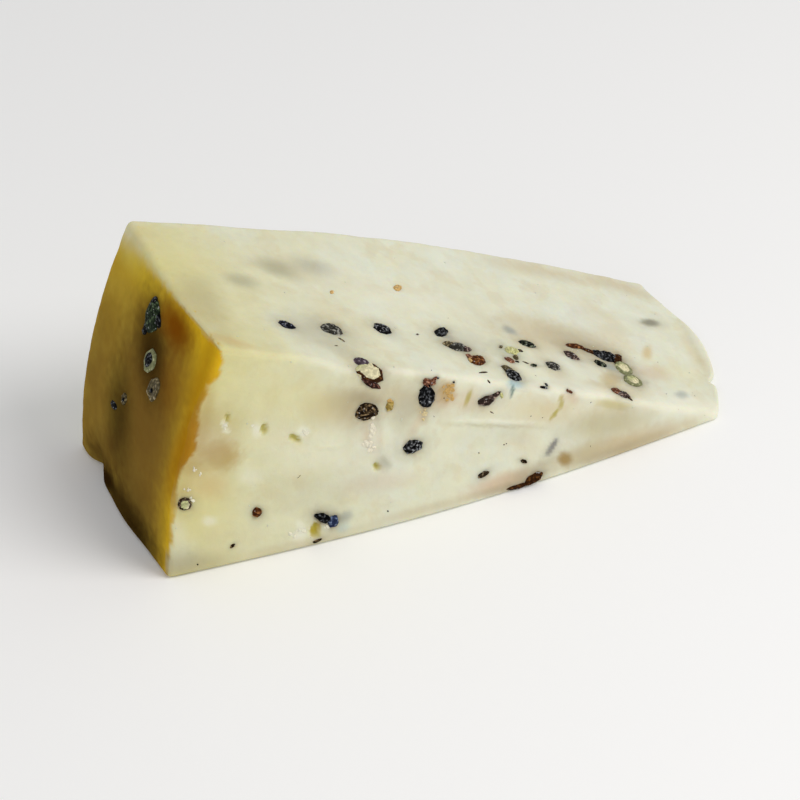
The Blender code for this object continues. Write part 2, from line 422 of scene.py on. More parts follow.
class PixelPatch:
    """A patch of the cheese that the photograph shows inside an ellipse of pixels.

    The ellipse has its centre, length, width and turn, which is how many degrees its right end is lowered.
    """

    # A point that misses the cheese is looked for again at these shares of its way from the centre
    NEARER = (1, 0.85, 0.7, 0.5, 0.25, 0)
    # The patch faces the mean way out of its centre and of four spots this far from it
    FACING_REACH = 0.6

    def __init__(self, sight, x, y, length, width, turn=0):
        self.sight = sight
        self.centre = (x, y)
        angle = math.radians(turn)
        self.long = (math.cos(angle) * length / 2, math.sin(angle) * length / 2)
        self.short = (-math.sin(angle) * width / 2, math.cos(angle) * width / 2)
        self.place, self.out = self.at(0, 0)
        far = self.FACING_REACH
        around = [self.at(u, v)[1] for u, v in ((far, 0), (-far, 0), (0, far), (0, -far))]
        self.out = sum(around, self.out).normalized()

    def at(self, u, v):
        """The place and the way out at u along the ellipse and v across it, each -1 to 1 inside it."""
        for nearer in self.NEARER:
            x, y = (c + (u * l + v * s) * nearer for c, l, s in zip(self.centre, self.long, self.short))
            spot = self.sight.spot(x, y)
            if spot:
                return spot
        raise ValueError(f"the cheese isn't at pixel {self.centre}")

    def axes(self):
        """Half the patch's length and width as steps over the cheese."""
        along = self.at(0.5, 0)[0] - self.at(-0.5, 0)[0]
        across = self.at(0, 0.5)[0] - self.at(0, -0.5)[0]
        return along, across


class FacePatch:
    """The same on a face that the photograph hides, where the ellipse is laid on the face itself."""

    def __init__(self, sight, place, length, width, turn):
        self.sight = sight
        self.length = length
        self.place, self.out, *_ = sight.tree.find_nearest(place)
        side = self.out.orthogonal().normalized()
        side.rotate(Matrix.Rotation(turn, 3, self.out))
        self.long = side * length / 2
        self.short = self.out.cross(side) * width / 2

    def at(self, u, v):
        place, out, *_ = self.sight.tree.find_nearest(self.place + self.long * u + self.short * v)
        return place, out

    def axes(self):
        return self.long, self.short


# Where the photograph shows its marks, in pixels: x, y, length, width, and the turn in degrees

# Small holes in the paste
EYES = (
    (227.7, 418.5, 9, 4, 85), (264.4, 429.3, 11, 6.5, 88), (295.3, 438.9, 13, 6, 35),
    (376.7, 466.3, 8, 6, 70), (314.8, 530.1, 12, 8, 110),
)
EYE_DEPTH = 0.7 * MM

# Raised ledges that the knife has left
LEDGES = ((492, 421, 84, 7, 2), (385, 440, 60, 12, 80), (330, 446, 34, 6, -4), (660, 352, 60, 26, 60))
LEDGE_HEIGHT = 0.24 * MM

# Each kind of husk or scrap: its own colour in its hollows, and the lighter colour on its crests, a painted
# highlight
HUSK_COLOURS_AND_HIGHLIGHTS = {
    "black": ((4, 4, 5), (146, 149, 152)), "frosted": ((44, 43, 38), (168, 166, 156)),
    "ink": ((8, 10, 18), (126, 132, 150)),
    "navy": ((40, 50, 78), (126, 144, 178)), "green_black": ((8, 12, 7), (115, 122, 101)),
    "jade": ((24, 34, 20), (106, 125, 91)), "brown": ((26, 14, 4), (146, 122, 88)),
    "red_brown": ((68, 34, 14), (156, 104, 60)), "rust": ((92, 54, 38), (184, 136, 108)),
    "maroon": ((44, 24, 20), (140, 96, 82)), "charred": ((50, 26, 8), (104, 66, 30)),
    "dusky": ((42, 30, 18), (156, 138, 110)), "jet": ((1, 1, 2), (103, 106, 110)),
    "mauve": ((66, 54, 62), (150, 136, 146)), "plum": ((50, 38, 34), (166, 142, 132)),
    "grey_brown": ((78, 70, 48), (168, 152, 116)), "ring": ((122, 124, 88), (184, 186, 146)),
    "olive": ((184, 182, 124), (224, 224, 178)), "tan": ((196, 160, 102), (230, 206, 154)),
    "golden": ((158, 134, 68), (206, 186, 122)),
}
# Kinds that are scraps of the pale inside, and not of the husk
PALE_KINDS = ("tan", "olive", "golden")

# Whole and broken peppercorns and their scraps, by kind
CORNS = {
    "black": (
        (382.6, 328.4, 22, 8, 23), (514, 375.2, 21, 8.6, 33), (544, 387.4, 9, 3.4, 12),
        (546.4, 384.6, 5, 2.2, 46), (413, 446.8, 21.5, 14, -27), (438, 378, 3, 2.6, 0),
        (453.9, 382.3, 2.8, 2.4, 0),
    ),
    "frosted": ((457.6, 346.3, 20, 8, 13), (332, 328.6, 23, 10, 18), (553, 365.6, 18, 7, 23)),
    "jet": (
        (426.8, 397.2, 24, 17.5, 98), (441.7, 331.6, 15, 9, 2), (607.6, 356, 22, 9, 27),
        (599, 353.6, 18, 6, 26), (322.6, 518, 17, 10.5, 14), (113.6, 405, 11, 5.4, 70),
        (148.6, 359.8, 18, 8, 102),
    ),
    "ink": ((286.8, 324.6, 20, 6.4, 20),),
    "navy": ((333.8, 522, 16, 11, 118),),
    "green_black": ((527.4, 343.6, 18, 6, 20), (600.6, 363.4, 16, 5, 22), (534, 365.2, 8, 3.4, 12)),
    "jade": ((151.6, 316.4, 37, 15.5, 98),),
    "brown": (
        (366.8, 412, 23.5, 17, -10), (232.8, 546, 7, 3, -42), (317.3, 541, 12, 3.4, -25),
        (523.9, 461.4, 7.4, 4, 20),
    ),
    "charred": (
        (534.4, 478.6, 24, 10, -34), (517, 487.4, 24, 4.6, -14), (589, 350.8, 15, 3.6, 20),
        (617.6, 357.6, 12, 9, 40),
    ),
    "dusky": ((484.1, 474.4, 14, 6, -32),),
    "red_brown": (
        (477.8, 359.8, 17, 9.6, 14), (257, 512.8, 11, 10, 90), (332.6, 326.8, 9, 5, 14),
        (575, 345.8, 21, 5, 10),
    ),
    "rust": (
        (430, 382, 14, 7, 14), (434.6, 379.4, 8, 3.4, -50), (426.4, 385, 8, 3.4, 40),
        (509.4, 359.8, 12, 4.6, 22), (470.4, 356.8, 10, 4, 32), (570.6, 391.8, 6, 3.4, 30),
        (567.6, 390.4, 4, 2.4, 80), (616.4, 390.4, 11, 5, 24),
    ),
    "plum": (
        (486.4, 401, 18, 10, -24), (495.8, 395.4, 13, 5, -34), (623.6, 394, 15, 5.6, 26),
        (466.6, 348.6, 11, 5, 18), (571.4, 355, 20, 6.4, 30),
    ),
    "grey_brown": (
        (448.2, 343.6, 13, 5, 8), (507.4, 368.2, 15, 5, 22), (500.8, 346.8, 4.6, 3.6, 0),
        (516, 357.2, 7.4, 4.6, 40),
    ),
    "olive": ((511.6, 350, 15, 7, 10), (501.9, 395.7, 7, 4, 70)),
    "golden": ((389.9, 406.4, 12, 8, 116),),
    "tan": ((397.7, 287.4, 9, 6.4, 10), (332, 291.9, 4.6, 4, 0), (471, 359, 7, 4, 60)),
}

# Slivers and specks of husk, thin and low
SLIVERS = {
    "grey_brown": ((341.6, 339.7, 11, 1.7, 32), (336, 345.8, 5, 1.3, 0), (298.9, 476.5, 7, 1.5, -42)),
    "brown": (
        (482.8, 372.4, 12, 1.9, -5), (488.9, 381.6, 6, 1.9, 50), (491.7, 412.4, 6, 2.2, 35),
        (197.6, 564.5, 2.2, 2, 0), (387.9, 511.2, 2.4, 1.8, 60), (417.4, 334.5, 4.4, 2.8, 10),
        (504, 444.6, 2.2, 1.6, 0), (506.4, 443.6, 1.8, 1.4, 0), (630.6, 399, 8, 1.8, 42),
        (526, 362.8, 10, 1.8, 20), (521, 350.6, 7, 2.4, 30), (517.4, 361.6, 6, 1.8, 20),
        (479, 453, 1.8, 1.4, 0), (444, 398, 2, 1.4, 0),
    ),
    "jade": ((143.6, 331, 7, 3, 110),),
}

# Loose shells that have broken off the cut peppercorns, and black pieces by those in the rind
SHELLS = {
    "mauve": ((361.4, 362, 19, 8, 22),),
    "maroon": ((371.4, 384.2, 22, 8, 31),),
    "jet": (
        (151.6, 390.4, 7, 2.8, 104), (123.6, 399.6, 5, 2.4, 96), (157.8, 320, 18, 6, 84),
        (145.6, 327.4, 17, 5.4, 108), (153.2, 303.4, 17, 6.4, 102),
    ),
}

# Cut peppercorns: the husk, any kernel, the husk's kind, and how far along the kernel is unripe green
CUT_CORNS = (
    ((370.8, 373, 30, 19.4, 21), (369.4, 371.8, 29, 18, 21), "charred", -0.7),
    ((149.4, 360.4, 26, 12.5, 101), None, "ring", 0),
    ((152.7, 389, 27, 12.5, 106), None, "grey_brown", 0),
    ((123.6, 399, 13, 5, 96), None, "grey_brown", 0),
    ((185.1, 504.3, 15, 13.6, 0), (185.1, 504.4, 13, 11.6, 0), "dusky", 0.4),
    ((624, 367.8, 21, 10.4, 34), (623, 367.2, 18, 8.4, 34), "ring", -0.3),
    ((633.2, 380, 21, 10.6, 24), (632.4, 379.8, 17, 8, 24), "ring", 0.1),
)

# Colours of the stains in the paste and the rind, and of the glow, highlights and shade painted on them
STAIN_AND_PAINTED_LIGHT_COLOURS = {
    "greyed": (176, 172, 152), "tan": (192, 174, 138), "taupe": (160, 146, 118), "warm": (208, 184, 130),
    "amber": (178, 148, 80), "orange": (152, 118, 58), "olive": (176, 162, 80), "white": (233, 232, 212),
    "yellow": (218, 208, 142), "blue": (172, 204, 212), "steel": (138, 146, 146), "smoke": (100, 98, 84),
    "green_grey": (150, 152, 128), "gold": (170, 132, 34), "khaki": (178, 168, 128),
    "pink": (204, 178, 148), "bark": (116, 86, 36), "soot": (42, 26, 8), "umber": (74, 52, 24),
    "sun": (216, 184, 52), "teal": (92, 120, 120), "moss": (190, 176, 70), "russet": (118, 62, 4),
    "honey": (164, 114, 16), "apricot": (184, 150, 92), "straw": (206, 190, 100), "slate": (100, 100, 110),
}
# Soft marks in the paste and the rind, stains and painted glow, highlight and shade: the ellipse, the colour,
# how strong, and how soft its rim is
STAINS_AND_PAINTED_LIGHT = (
    # The top face, from the rind to the tip
    (240.8, 280.4, 30, 11, 15, "smoke", 0.36, 0.8), (277.8, 268.3, 38, 13, 18, "green_grey", 0.6, 0.8),
    (312.2, 267, 38, 13, 15, "steel", 0.4, 0.8), (296, 268, 90, 22, 14, "tan", 0.25, 0.8),
    (200, 292, 50, 30, 20, "khaki", 0.3, 0.8), (190, 262, 60, 30, 10, "yellow", 0.25, 0.8),
    (228, 340, 44, 7, 16, "warm", 0.7, 0.7), (206, 312, 76, 32, 50, "khaki", 0.45, 0.8),
    (322, 333, 80, 26, 20, "greyed", 0.5, 0.8), (340, 350, 50, 10, 24, "greyed", 0.35, 0.8),
    (460, 342, 60, 22, 12, "greyed", 0.4, 0.8), (548, 336, 100, 26, 14, "tan", 0.6, 0.8),
    (536, 270, 100, 12, 12, "tan", 0.4, 0.8), (620, 286, 70, 12, 18, "tan", 0.45, 0.8),
    (420, 300, 70, 22, 12, "white", 0.3, 0.8), (360, 288, 90, 30, 10, "white", 0.25, 0.8),
    (590, 350, 84, 22, 24, "taupe", 0.45, 0.8), (650.3, 322.9, 18, 6.5, 8, "smoke", 0.85, 0.6),
    (652, 324.4, 28, 10, 8, "greyed", 0.4, 0.8), (681.6, 395, 12, 7, 10, "steel", 0.55, 0.7),
    (647.1, 353, 14, 9, 90, "warm", 0.7, 0.7), (654, 373, 30, 14, 14, "pink", 0.5, 0.7),
    (693.6, 352, 44, 12, 58, "warm", 0.35, 0.8), (700.6, 346, 50, 7, 62, "white", 0.5, 0.7),
    (676, 372, 50, 22, 20, "yellow", 0.25, 0.8), (509.6, 330, 15, 6, 25, "steel", 0.65, 0.7),
    (515.7, 382.6, 15, 8, 10, "blue", 0.85, 0.6), (512.6, 391, 13, 3.6, 100, "teal", 0.85, 0.5),
    (610.4, 367, 12, 5, 24, "blue", 0.75, 0.7), (611.1, 379.6, 19, 15, 20, "amber", 0.5, 0.6),
    (449, 337.5, 10, 5, 20, "steel", 0.4, 0.8), (600, 385, 26, 5, 14, "tan", 0.35, 0.8),
    (508, 352, 34, 16, 20, "green_grey", 0.4, 0.8), (620, 372, 44, 16, 34, "greyed", 0.45, 0.8),
    # The front face, from the rind to the tip. The amber marks that run along the rind's front corner are
    # painted glow, light from the rind's edge spreading onto the paste
    (203.6, 424, 72, 14, 101, "amber", 0.55, 0.8), (190, 467, 20, 24, 100, "amber", 0.7, 0.7),
    (183, 494, 34, 14, 100, "amber", 0.5, 0.8), (219.1, 456.1, 38, 28, 0, "amber", 0.85, 0.6),
    (210, 442, 44, 70, 10, "tan", 0.5, 0.8), (221, 418, 56, 26, 0, "olive", 0.2, 0.8),
    (204, 505, 60, 70, 15, "yellow", 0.4, 0.8), (251, 476.5, 22, 15, -10, "white", 0.4, 0.7),
    # The tan, taupe and greyed marks just under the top front edge, from x 340 to 404, are painted shade
    (210.2, 521.2, 14, 9, 0, "white", 0.55, 0.7), (340, 410, 64, 36, 10, "tan", 0.6, 0.8),
    (344, 402, 30, 24, 20, "taupe", 0.35, 0.8), (398, 400, 76, 30, 6, "tan", 0.5, 0.8),
    (362, 398, 30, 14, 10, "taupe", 0.6, 0.8), (404, 412, 24, 46, 10, "greyed", 0.4, 0.8),
    (442, 397, 30, 24, 0, "pink", 0.6, 0.6), (470, 399, 26, 22, 0, "pink", 0.4, 0.7),
    (468.6, 397, 16, 4.4, 112, "olive", 0.8, 0.5), (423.4, 414.3, 18, 10, 95, "tan", 0.6, 0.7),
    (447, 391, 20, 15, 100, "apricot", 0.7, 0.5), (415, 428, 26, 8, 120, "pink", 0.4, 0.8),
    (300, 400, 90, 40, 8, "yellow", 0.3, 0.8), (540, 412, 70, 24, 4, "warm", 0.35, 0.8),
    (561.4, 402, 13, 5, 96, "olive", 0.7, 0.4), (554.6, 414, 17, 3.6, 128, "olive", 0.85, 0.4),
    (612.7, 404.5, 30, 9, 6, "olive", 0.5, 0.7), (572, 398, 16, 9, 20, "pink", 0.5, 0.7),
    (606, 424, 80, 26, -8, "khaki", 0.6, 0.8), (590, 452, 70, 18, -18, "tan", 0.7, 0.8),
    (644, 439, 90, 18, -19, "tan", 0.75, 0.8), (616, 451, 90, 9, -19, "taupe", 0.4, 0.8),
    (690, 403, 50, 10, 4, "white", 0.5, 0.8), (503, 482, 66, 16, -17, "pink", 0.75, 0.7),
    (500, 489, 60, 7, -17, "taupe", 0.4, 0.8), (530, 473, 40, 16, -20, "taupe", 0.45, 0.8),
    (551, 448.8, 21, 5.6, -54, "slate", 0.95, 0.4), (550, 452, 26, 12, -50, "greyed", 0.45, 0.8),
    (565.2, 459, 14, 13, 0, "orange", 0.9, 0.55), (382.4, 463.8, 16, 13, 0, "greyed", 0.6, 0.6),
    (380, 482, 70, 18, -8, "pink", 0.3, 0.8), (224.2, 424.2, 9, 6, 70, "white", 0.7, 0.4),
    (226.1, 431.3, 7, 4, 0, "white", 0.6, 0.4), (256.8, 430.6, 15, 9, 80, "white", 0.6, 0.5),
    (303.3, 431.6, 13, 11, 0, "white", 0.75, 0.4), (301, 526, 12, 8, 60, "white", 0.6, 0.5),
    (299.5, 536.5, 16, 10, -10, "white", 0.75, 0.5), (326.3, 527.6, 8, 5, 0, "white", 0.8, 0.3),
    (343, 528, 14, 8, -30, "blue", 0.4, 0.8), (316, 529, 15, 7, 118, "gold", 0.95, 0.4),
    (500, 432, 54, 26, 0, "khaki", 0.15, 0.9), (581, 452, 46, 20, -20, "khaki", 0.35, 0.9),
    (317, 535, 10, 5, 0, "olive", 0.7, 0.5), (323, 517, 24, 20, 10, "greyed", 0.5, 0.7),
    (345, 517, 15, 10, -30, "steel", 0.55, 0.7), (371.4, 435.7, 30, 18, 88, "pink", 0.5, 0.7),
    (374, 432, 24, 9, 84, "white", 0.6, 0.5), (368, 446, 18, 7, 0, "white", 0.5, 0.6),
    (400, 440, 40, 20, 0, "white", 0.2, 0.8), (318, 452, 80, 34, 0, "white", 0.3, 0.8),
    # Along the ledge at x 494: the white line on its upper side is a painted highlight, and the khaki line
    # under it painted shadow
    (494, 426, 84, 3, 2, "khaki", 0.35, 0.7), (494, 421, 84, 4, 2, "white", 0.6, 0.5),
    (192, 566, 70, 18, -12, "khaki", 0.6, 0.8), (209, 486, 34, 24, 0, "warm", 0.6, 0.8),
    (180, 562, 44, 20, -12, "greyed", 0.5, 0.8), (300, 545, 120, 9, -13, "tan", 0.35, 0.8),
    (430, 508, 120, 9, -15, "tan", 0.4, 0.8), (310, 492, 90, 34, -6, "khaki", 0.2, 0.8),
    # The rind. The straw, yellow and orange bands along its top and front edges are painted glow, light coming
    # through the paste's edges; the deepest browns low at its back, under the chipped foot, are painted shade
    (134, 250, 44, 26, 64, "straw", 0.6, 0.8), (152, 280, 52, 26, 60, "sun", 0.7, 0.8),
    (132, 410, 200, 34, 90, "umber", 0.55, 0.8), (136, 498, 90, 26, 60, "umber", 0.5, 0.8),
    (176, 344, 40, 20, 80, "umber", 0.4, 0.8), (188, 388, 84, 18, 96, "russet", 0.3, 0.8),
    (96, 396, 130, 26, 88, "bark", 0.55, 0.8), (150, 400, 190, 50, 92, "bark", 0.85, 0.7),
    (152, 352, 90, 28, 88, "soot", 0.85, 0.8), (176, 326, 46, 25, 66, "russet", 0.9, 0.8),
    (172, 378, 70, 20, 96, "russet", 0.35, 0.8), (118, 420, 96, 22, 88, "soot", 0.75, 0.8),
    (104, 450, 44, 18, 80, "umber", 0.5, 0.8), (122, 507, 120, 28, 60, "soot", 0.9, 0.7),
    (105, 478, 40, 18, 70, "soot", 0.97, 0.6), (198, 400, 130, 18, 100, "honey", 0.6, 0.8),
    (182, 456, 74, 24, 108, "honey", 0.85, 0.8), (142, 542, 78, 16, 56, "soot", 0.6, 0.8),
    (140, 462, 70, 40, 96, "bark", 0.3, 0.8), (154, 308, 22, 12, 90, "soot", 0.5, 0.8),
)


# Each grain's own number seeds its form. The seen peppercorns count from 1, and the others from here
SLIVER_NUMBERS = 500
CUT_NUMBERS = 700
HIDDEN_NUMBERS = 1000
CRUMB_NUMBERS = 2000
# A kernel's number is this much above that of its husk
KERNEL_SHIFT = 50


class Corn:
    """One grain in the cheese: its patch, its kind, how far it stands proud, and its own number."""

    def __init__(self, patch, kind, proud, number):
        self.patch, self.kind, self.proud, self.number = patch, kind, proud, number


# A peppercorn this many pixels wide stands as proud as the settings say, a narrower one less and a wider more
FULL_WIDTH = 9


def seen_corns(sight, looks):
    """The peppercorns that the photograph shows whole."""
    number = 0
    for kind, marks in CORNS.items():
        for mark in marks:
            number += 1
            proud = looks.proud * clamped(min(mark[2:4]) / FULL_WIDTH, 0.35, 1.15)
            yield Corn(PixelPatch(sight, *mark), kind, proud, number)


# The kinds of the hidden peppercorns, common ones more than once
HIDDEN_KINDS = (
    "black", "black", "black", "ink", "brown", "brown", "red_brown", "plum", "green_black", "olive",
)
# How far those underneath stand out, as a share of the setting: they are sunk, so that the wedge lies flat
FOOT_PROUD = -0.22


def chance_patch(sight, draw, place, lengths, widths):
    """A patch by seeded chance on a hidden face: its length in millimetres, its width as a share of that."""
    length = draw.uniform(*lengths) * MM
    return FacePatch(sight, place, length, length * draw.uniform(*widths), draw.uniform(0, math.tau))


def hidden_corns(sight, looks):
    """Peppercorns by seeded chance on the back face, and then underneath."""
    draw = random.Random(looks.hidden_seed)
    number = HIDDEN_NUMBERS
    for i in range(looks.hidden_corns):
        a = blend(0.10, 0.90, (i + draw.random()) / looks.hidden_corns)
        place = sight.shape.point(a, draw.uniform(0.22, 0.86), 1)
        patch = chance_patch(sight, draw, place, (2.0, 5.0), (0.5, 0.9))
        proud = clamped(patch.length / (4 * MM), 0.5, 1.1)
        number += 1
        yield Corn(patch, draw.choice(HIDDEN_KINDS), proud * looks.proud, number)
    for i in range(looks.hidden_corns):
        a = blend(0.08, 0.88, (i + draw.random()) / looks.hidden_corns)
        place = sight.shape.point(a, 0, draw.uniform(0.15, 0.85))
        patch = chance_patch(sight, draw, place, (2.0, 4.6), (0.5, 0.9))
        number += 1
        yield Corn(patch, draw.choice(HIDDEN_KINDS), FOOT_PROUD * looks.proud, number)


# A patch that faces further to the rim's side than this lies on the rind
RIND_FACING = -0.6


def eyes(sight, looks):
    """The eyes that the photograph shows, and some by seeded chance in the back face."""
    draw = random.Random(looks.hidden_seed + 1)
    for mark in EYES:
        yield PixelPatch(sight, *mark)
    for _ in range(looks.hidden_eyes):
        place = sight.shape.point(draw.uniform(0.08, 0.7), draw.uniform(0.3, 0.8), 1)
        yield chance_patch(sight, draw, place, (1.6, 2.8), (0.4, 0.7))


class Surface:
    """The wedge's points while they are carved and painted. Marks on the rind stay off the cut faces."""

    WOBBLE_LENGTH = 1.5 * MM
    # A patch marks the points within this reach of it, on faces turned its way, and the rest count as away
    LEAST_REACH = 1.5 * MM
    REACH = 1.3
    LEAST_FACING = 0.35
    AWAY = 9

    def __init__(self, mesh):
        count = len(mesh.vertices)
        self.mesh = mesh
        self.places = np.empty(count * 3)
        mesh.vertices.foreach_get("co", self.places)
        self.places = self.places.reshape(-1, 3)
        self.normals = np.array([v.normal[:] for v in mesh.vertices])
        steps = [Vector(place) / self.WOBBLE_LENGTH for place in self.places]
        self.wobble = np.array([noise.fractal(step, 0.9, 2.0, 3) for step in steps])
        self.height = np.zeros(count)
        self.rind = np.zeros(count)
        self.colour = np.zeros((count, 3))
        self.amount = np.zeros(count)

    def distance(self, patch, wobble=0.0):
        """How far each point is from the patch's centre, 1 at its rim."""
        along, across = patch.axes()
        out = Vector(patch.out)
        reach = max(along.length, across.length, self.LEAST_REACH)
        to_patch = np.linalg.pinv(np.array((along, across, out * reach)).T)
        steps = (self.places - np.array(patch.place)) @ to_patch.T
        distance = np.hypot(steps[:, 0], steps[:, 1]) * (1 + wobble * self.wobble)
        facing = self.normals @ np.array(out)
        marked = (np.abs(steps[:, 2]) < self.REACH) & (facing > self.LEAST_FACING)
        return np.where(marked, distance, self.AWAY)

    def dent(self, patch, depth, reach, wobble=0.0):
        """Sinks a patch, or raises it where the depth is below 0, fading out at its reach."""
        self.height -= depth * (1 - smooth_step(0.75, reach, self.distance(patch, wobble)))

    def soak(self, patch, colour, strength, softness, reach=1.0):
        """Colours a patch. A soft rim is smooth, and a hard one is uneven."""
        distance = self.distance(patch, 0.5 * (1 - softness)) / reach
        share = strength * (1 - smooth_step(1 - softness, 1 + softness, distance))
        if patch.out.x < RIND_FACING:
            share = share * self.rind
        self.colour = self.colour * (1 - share[:, None]) + np.array(colour) * share[:, None]
        self.amount = self.amount * (1 - share) + share


class GOUDA_OT_stage(bpy.types.Operator):
    """Sets up the floor, the lights and the camera at the photograph's angle"""

    bl_idname = "gouda.stage"
    bl_label = "Stage"

    FLOOR_SIZE = 6.0
    FLOOR_ROUGHNESS = 0.9
    CLIP_START = 0.01
    # Each light's place, size and colour
    KEY_LIGHT = (Vector((0.42, -0.44, 0.66)), 0.55, (1.0, 0.98, 0.95))
    FILL_LIGHT = (Vector((-0.75, -0.25, 0.35)), 0.60, (0.96, 0.98, 1.0))

    def execute(self, context):
        looks = context.scene.gouda_stage
        self.add_camera(context, looks)
        self.add_floor(context, looks)
        self.add_light(context, "key", looks.key_power, *self.KEY_LIGHT)
        self.add_light(context, "fill", looks.fill_power, *self.FILL_LIGHT)
        world = bpy.data.worlds.new("studio")
        world.use_nodes = True
        sky = world.node_tree.nodes["Background"]
        sky.inputs["Color"].default_value = (1, 1, 1, 1)
        sky.inputs["Strength"].default_value = looks.sky_strength
        context.scene.world = world
        context.scene.view_settings.view_transform = "Standard"
        return {"FINISHED"}

    def add_camera(self, context, looks):
        camera = bpy.data.objects.new("camera", bpy.data.cameras.new("camera"))
        camera.data.lens = looks.lens
        camera.data.sensor_width = SENSOR_WIDTH
        camera.data.clip_start = self.CLIP_START
        camera.location = looks.camera_place
        camera.rotation_euler = (math.pi / 2 - looks.elevation, 0, looks.azimuth)
        context.collection.objects.link(camera)
        context.scene.camera = camera
        context.view_layer.update()

    def add_floor(self, context, looks):
        half = self.FLOOR_SIZE / 2
        mesh = bpy.data.meshes.new("floor")
        corners = [(x * half, y * half, 0) for x, y in ((-1, -1), (1, -1), (1, 1), (-1, 1))]
        mesh.from_pydata(corners, [], [(0, 1, 2, 3)])
        floor = bpy.data.objects.new("floor", mesh)
        context.collection.objects.link(floor)
        finish = bpy.data.materials.new("floor")
        finish.use_nodes = True
        shader = finish.node_tree.nodes["Principled BSDF"]
        shader.inputs["Base Color"].default_value = (*looks.floor, 1)
        shader.inputs["Roughness"].default_value = self.FLOOR_ROUGHNESS
        mesh.materials.append(finish)

    def add_light(self, context, name, power, place, size, colour):
        light = bpy.data.lights.new(name, "AREA")
        light.shape = "DISK"
        light.size = size
        light.energy = power
        light.color = colour
        lamp = bpy.data.objects.new(name, light)
        lamp.location = place
        lamp.rotation_euler = (-place).to_track_quat("-Z", "Y").to_euler()
        context.collection.objects.link(lamp)


class NodeMaker:
    """Adds and joins the nodes of one material."""

    def __init__(self, name):
        self.material = bpy.data.materials.new(name)
        self.material.use_nodes = True
        self.tree = self.material.node_tree
        self.shader = self.tree.nodes["Principled BSDF"]
        self.place = self.add("ShaderNodeTexCoord").outputs["Object"]

    def add(self, kind, **settings):
        node = self.tree.nodes.new(kind)
        for name, value in settings.items():
            setattr(node, name, value)
        return node

    def join(self, source, target):
        self.tree.links.new(source, target)

    def noise(self, length, detail=2.0, roughness=0.5, stretch=(1, 1, 1)):
        """Noise whose features are about the given length across."""
        mapping = self.add("ShaderNodeMapping")
        mapping.inputs["Scale"].default_value = stretch
        self.join(self.place, mapping.inputs["Vector"])
        texture = self.add("ShaderNodeTexNoise")
        texture.inputs["Scale"].default_value = 1 / length
        texture.inputs["Detail"].default_value = detail
        texture.inputs["Roughness"].default_value = roughness
        self.join(mapping.outputs["Vector"], texture.inputs["Vector"])
        return texture.outputs["Fac"]

    def cells(self, length):
        texture = self.add("ShaderNodeTexVoronoi")
        texture.inputs["Scale"].default_value = 1 / length
        self.join(self.place, texture.inputs["Vector"])
        return texture.outputs["Distance"]

    def attribute(self, name, output="Fac"):
        return self.add("ShaderNodeAttribute", attribute_name=name).outputs[output]

    def ramp(self, value, low, high, to_low=0.0, to_high=1.0):
        """The value's stretch from low to high, smoothly, as to_low to to_high."""
        node = self.add("ShaderNodeMapRange", interpolation_type="SMOOTHSTEP")
        for name, number in (("From Min", low), ("From Max", high), ("To Min", to_low), ("To Max", to_high)):
            node.inputs[name].default_value = number
        self.join(value, node.inputs["Value"])
        return node.outputs["Result"]

    def mix(self, share, first, second, blend_type="MIX"):
        """Colours mixed by share; each may be a socket or a plain colour."""
        node = self.add("ShaderNodeMix", data_type="RGBA", blend_type=blend_type)
        if isinstance(share, (int, float)):
            node.inputs[0].default_value = share
        else:
            self.join(share, node.inputs[0])
        for socket, value in ((node.inputs[6], first), (node.inputs[7], second)):
            if isinstance(value, bpy.types.NodeSocket):
                self.join(value, socket)
            else:
                socket.default_value = (*value, 1)
        return node.outputs[2]

    def shade(self, colour, value):
        """A colour made darker or lighter by a number."""
        node = self.add("ShaderNodeVectorMath", operation="SCALE")
        self.join(colour, node.inputs[0])
        self.join(value, node.inputs["Scale"])
        return node.outputs["Vector"]

    def bump(self, height, distance, strength=1.0, under=None, share=None):
        """Relief over the normal underneath, and less of it where share is low."""
        node = self.add("ShaderNodeBump")
        node.inputs["Strength"].default_value = strength
        node.inputs["Distance"].default_value = distance
        if share:
            scaled = self.add("ShaderNodeMath", operation="MULTIPLY")
            self.join(height, scaled.inputs[0])
            self.join(share, scaled.inputs[1])
            height = scaled.outputs["Value"]
        self.join(height, node.inputs["Height"])
        if under:
            self.join(under, node.inputs["Normal"])
        return node.outputs["Normal"]

    def finish(self, colour=None, roughness=None, normal=None, **constants):
        for name, source in (("Base Color", colour), ("Roughness", roughness), ("Normal", normal)):
            if source:
                self.join(source, self.shader.inputs[name])
        for name, value in constants.items():
            self.shader.inputs[name.replace("_", " ")].default_value = value
        return self.material


# Blotches of the paste: the noise's length in millimetres, its detail and roughness, the stretch of it
# that shows, how strong they are, and their colour
MARBLING = (
    (8, 6, 0.6, 0.5, 0.58, 0.4, "cool"),
    (6, 5, 0.5, 0.54, 0.62, 0.22, "warm"),
    (3.6, 6, 0.62, 0.53, 0.57, 0.22, "cool"),
)
CLOUDS = ((26, 3, 0.5, 0.5, 0.72, 0.35, "warm"), (17, 3, 0.5, 0.5, 0.7, 0.4, "cool"))


def blotched(maker, paste, blotches, looks):
    for length, detail, roughness, low, high, strength, colour in blotches:
        share = maker.ramp(maker.noise(length * MM, detail, roughness), low, high, 0, strength)
        paste = maker.mix(share, paste, getattr(looks, colour))
    return paste


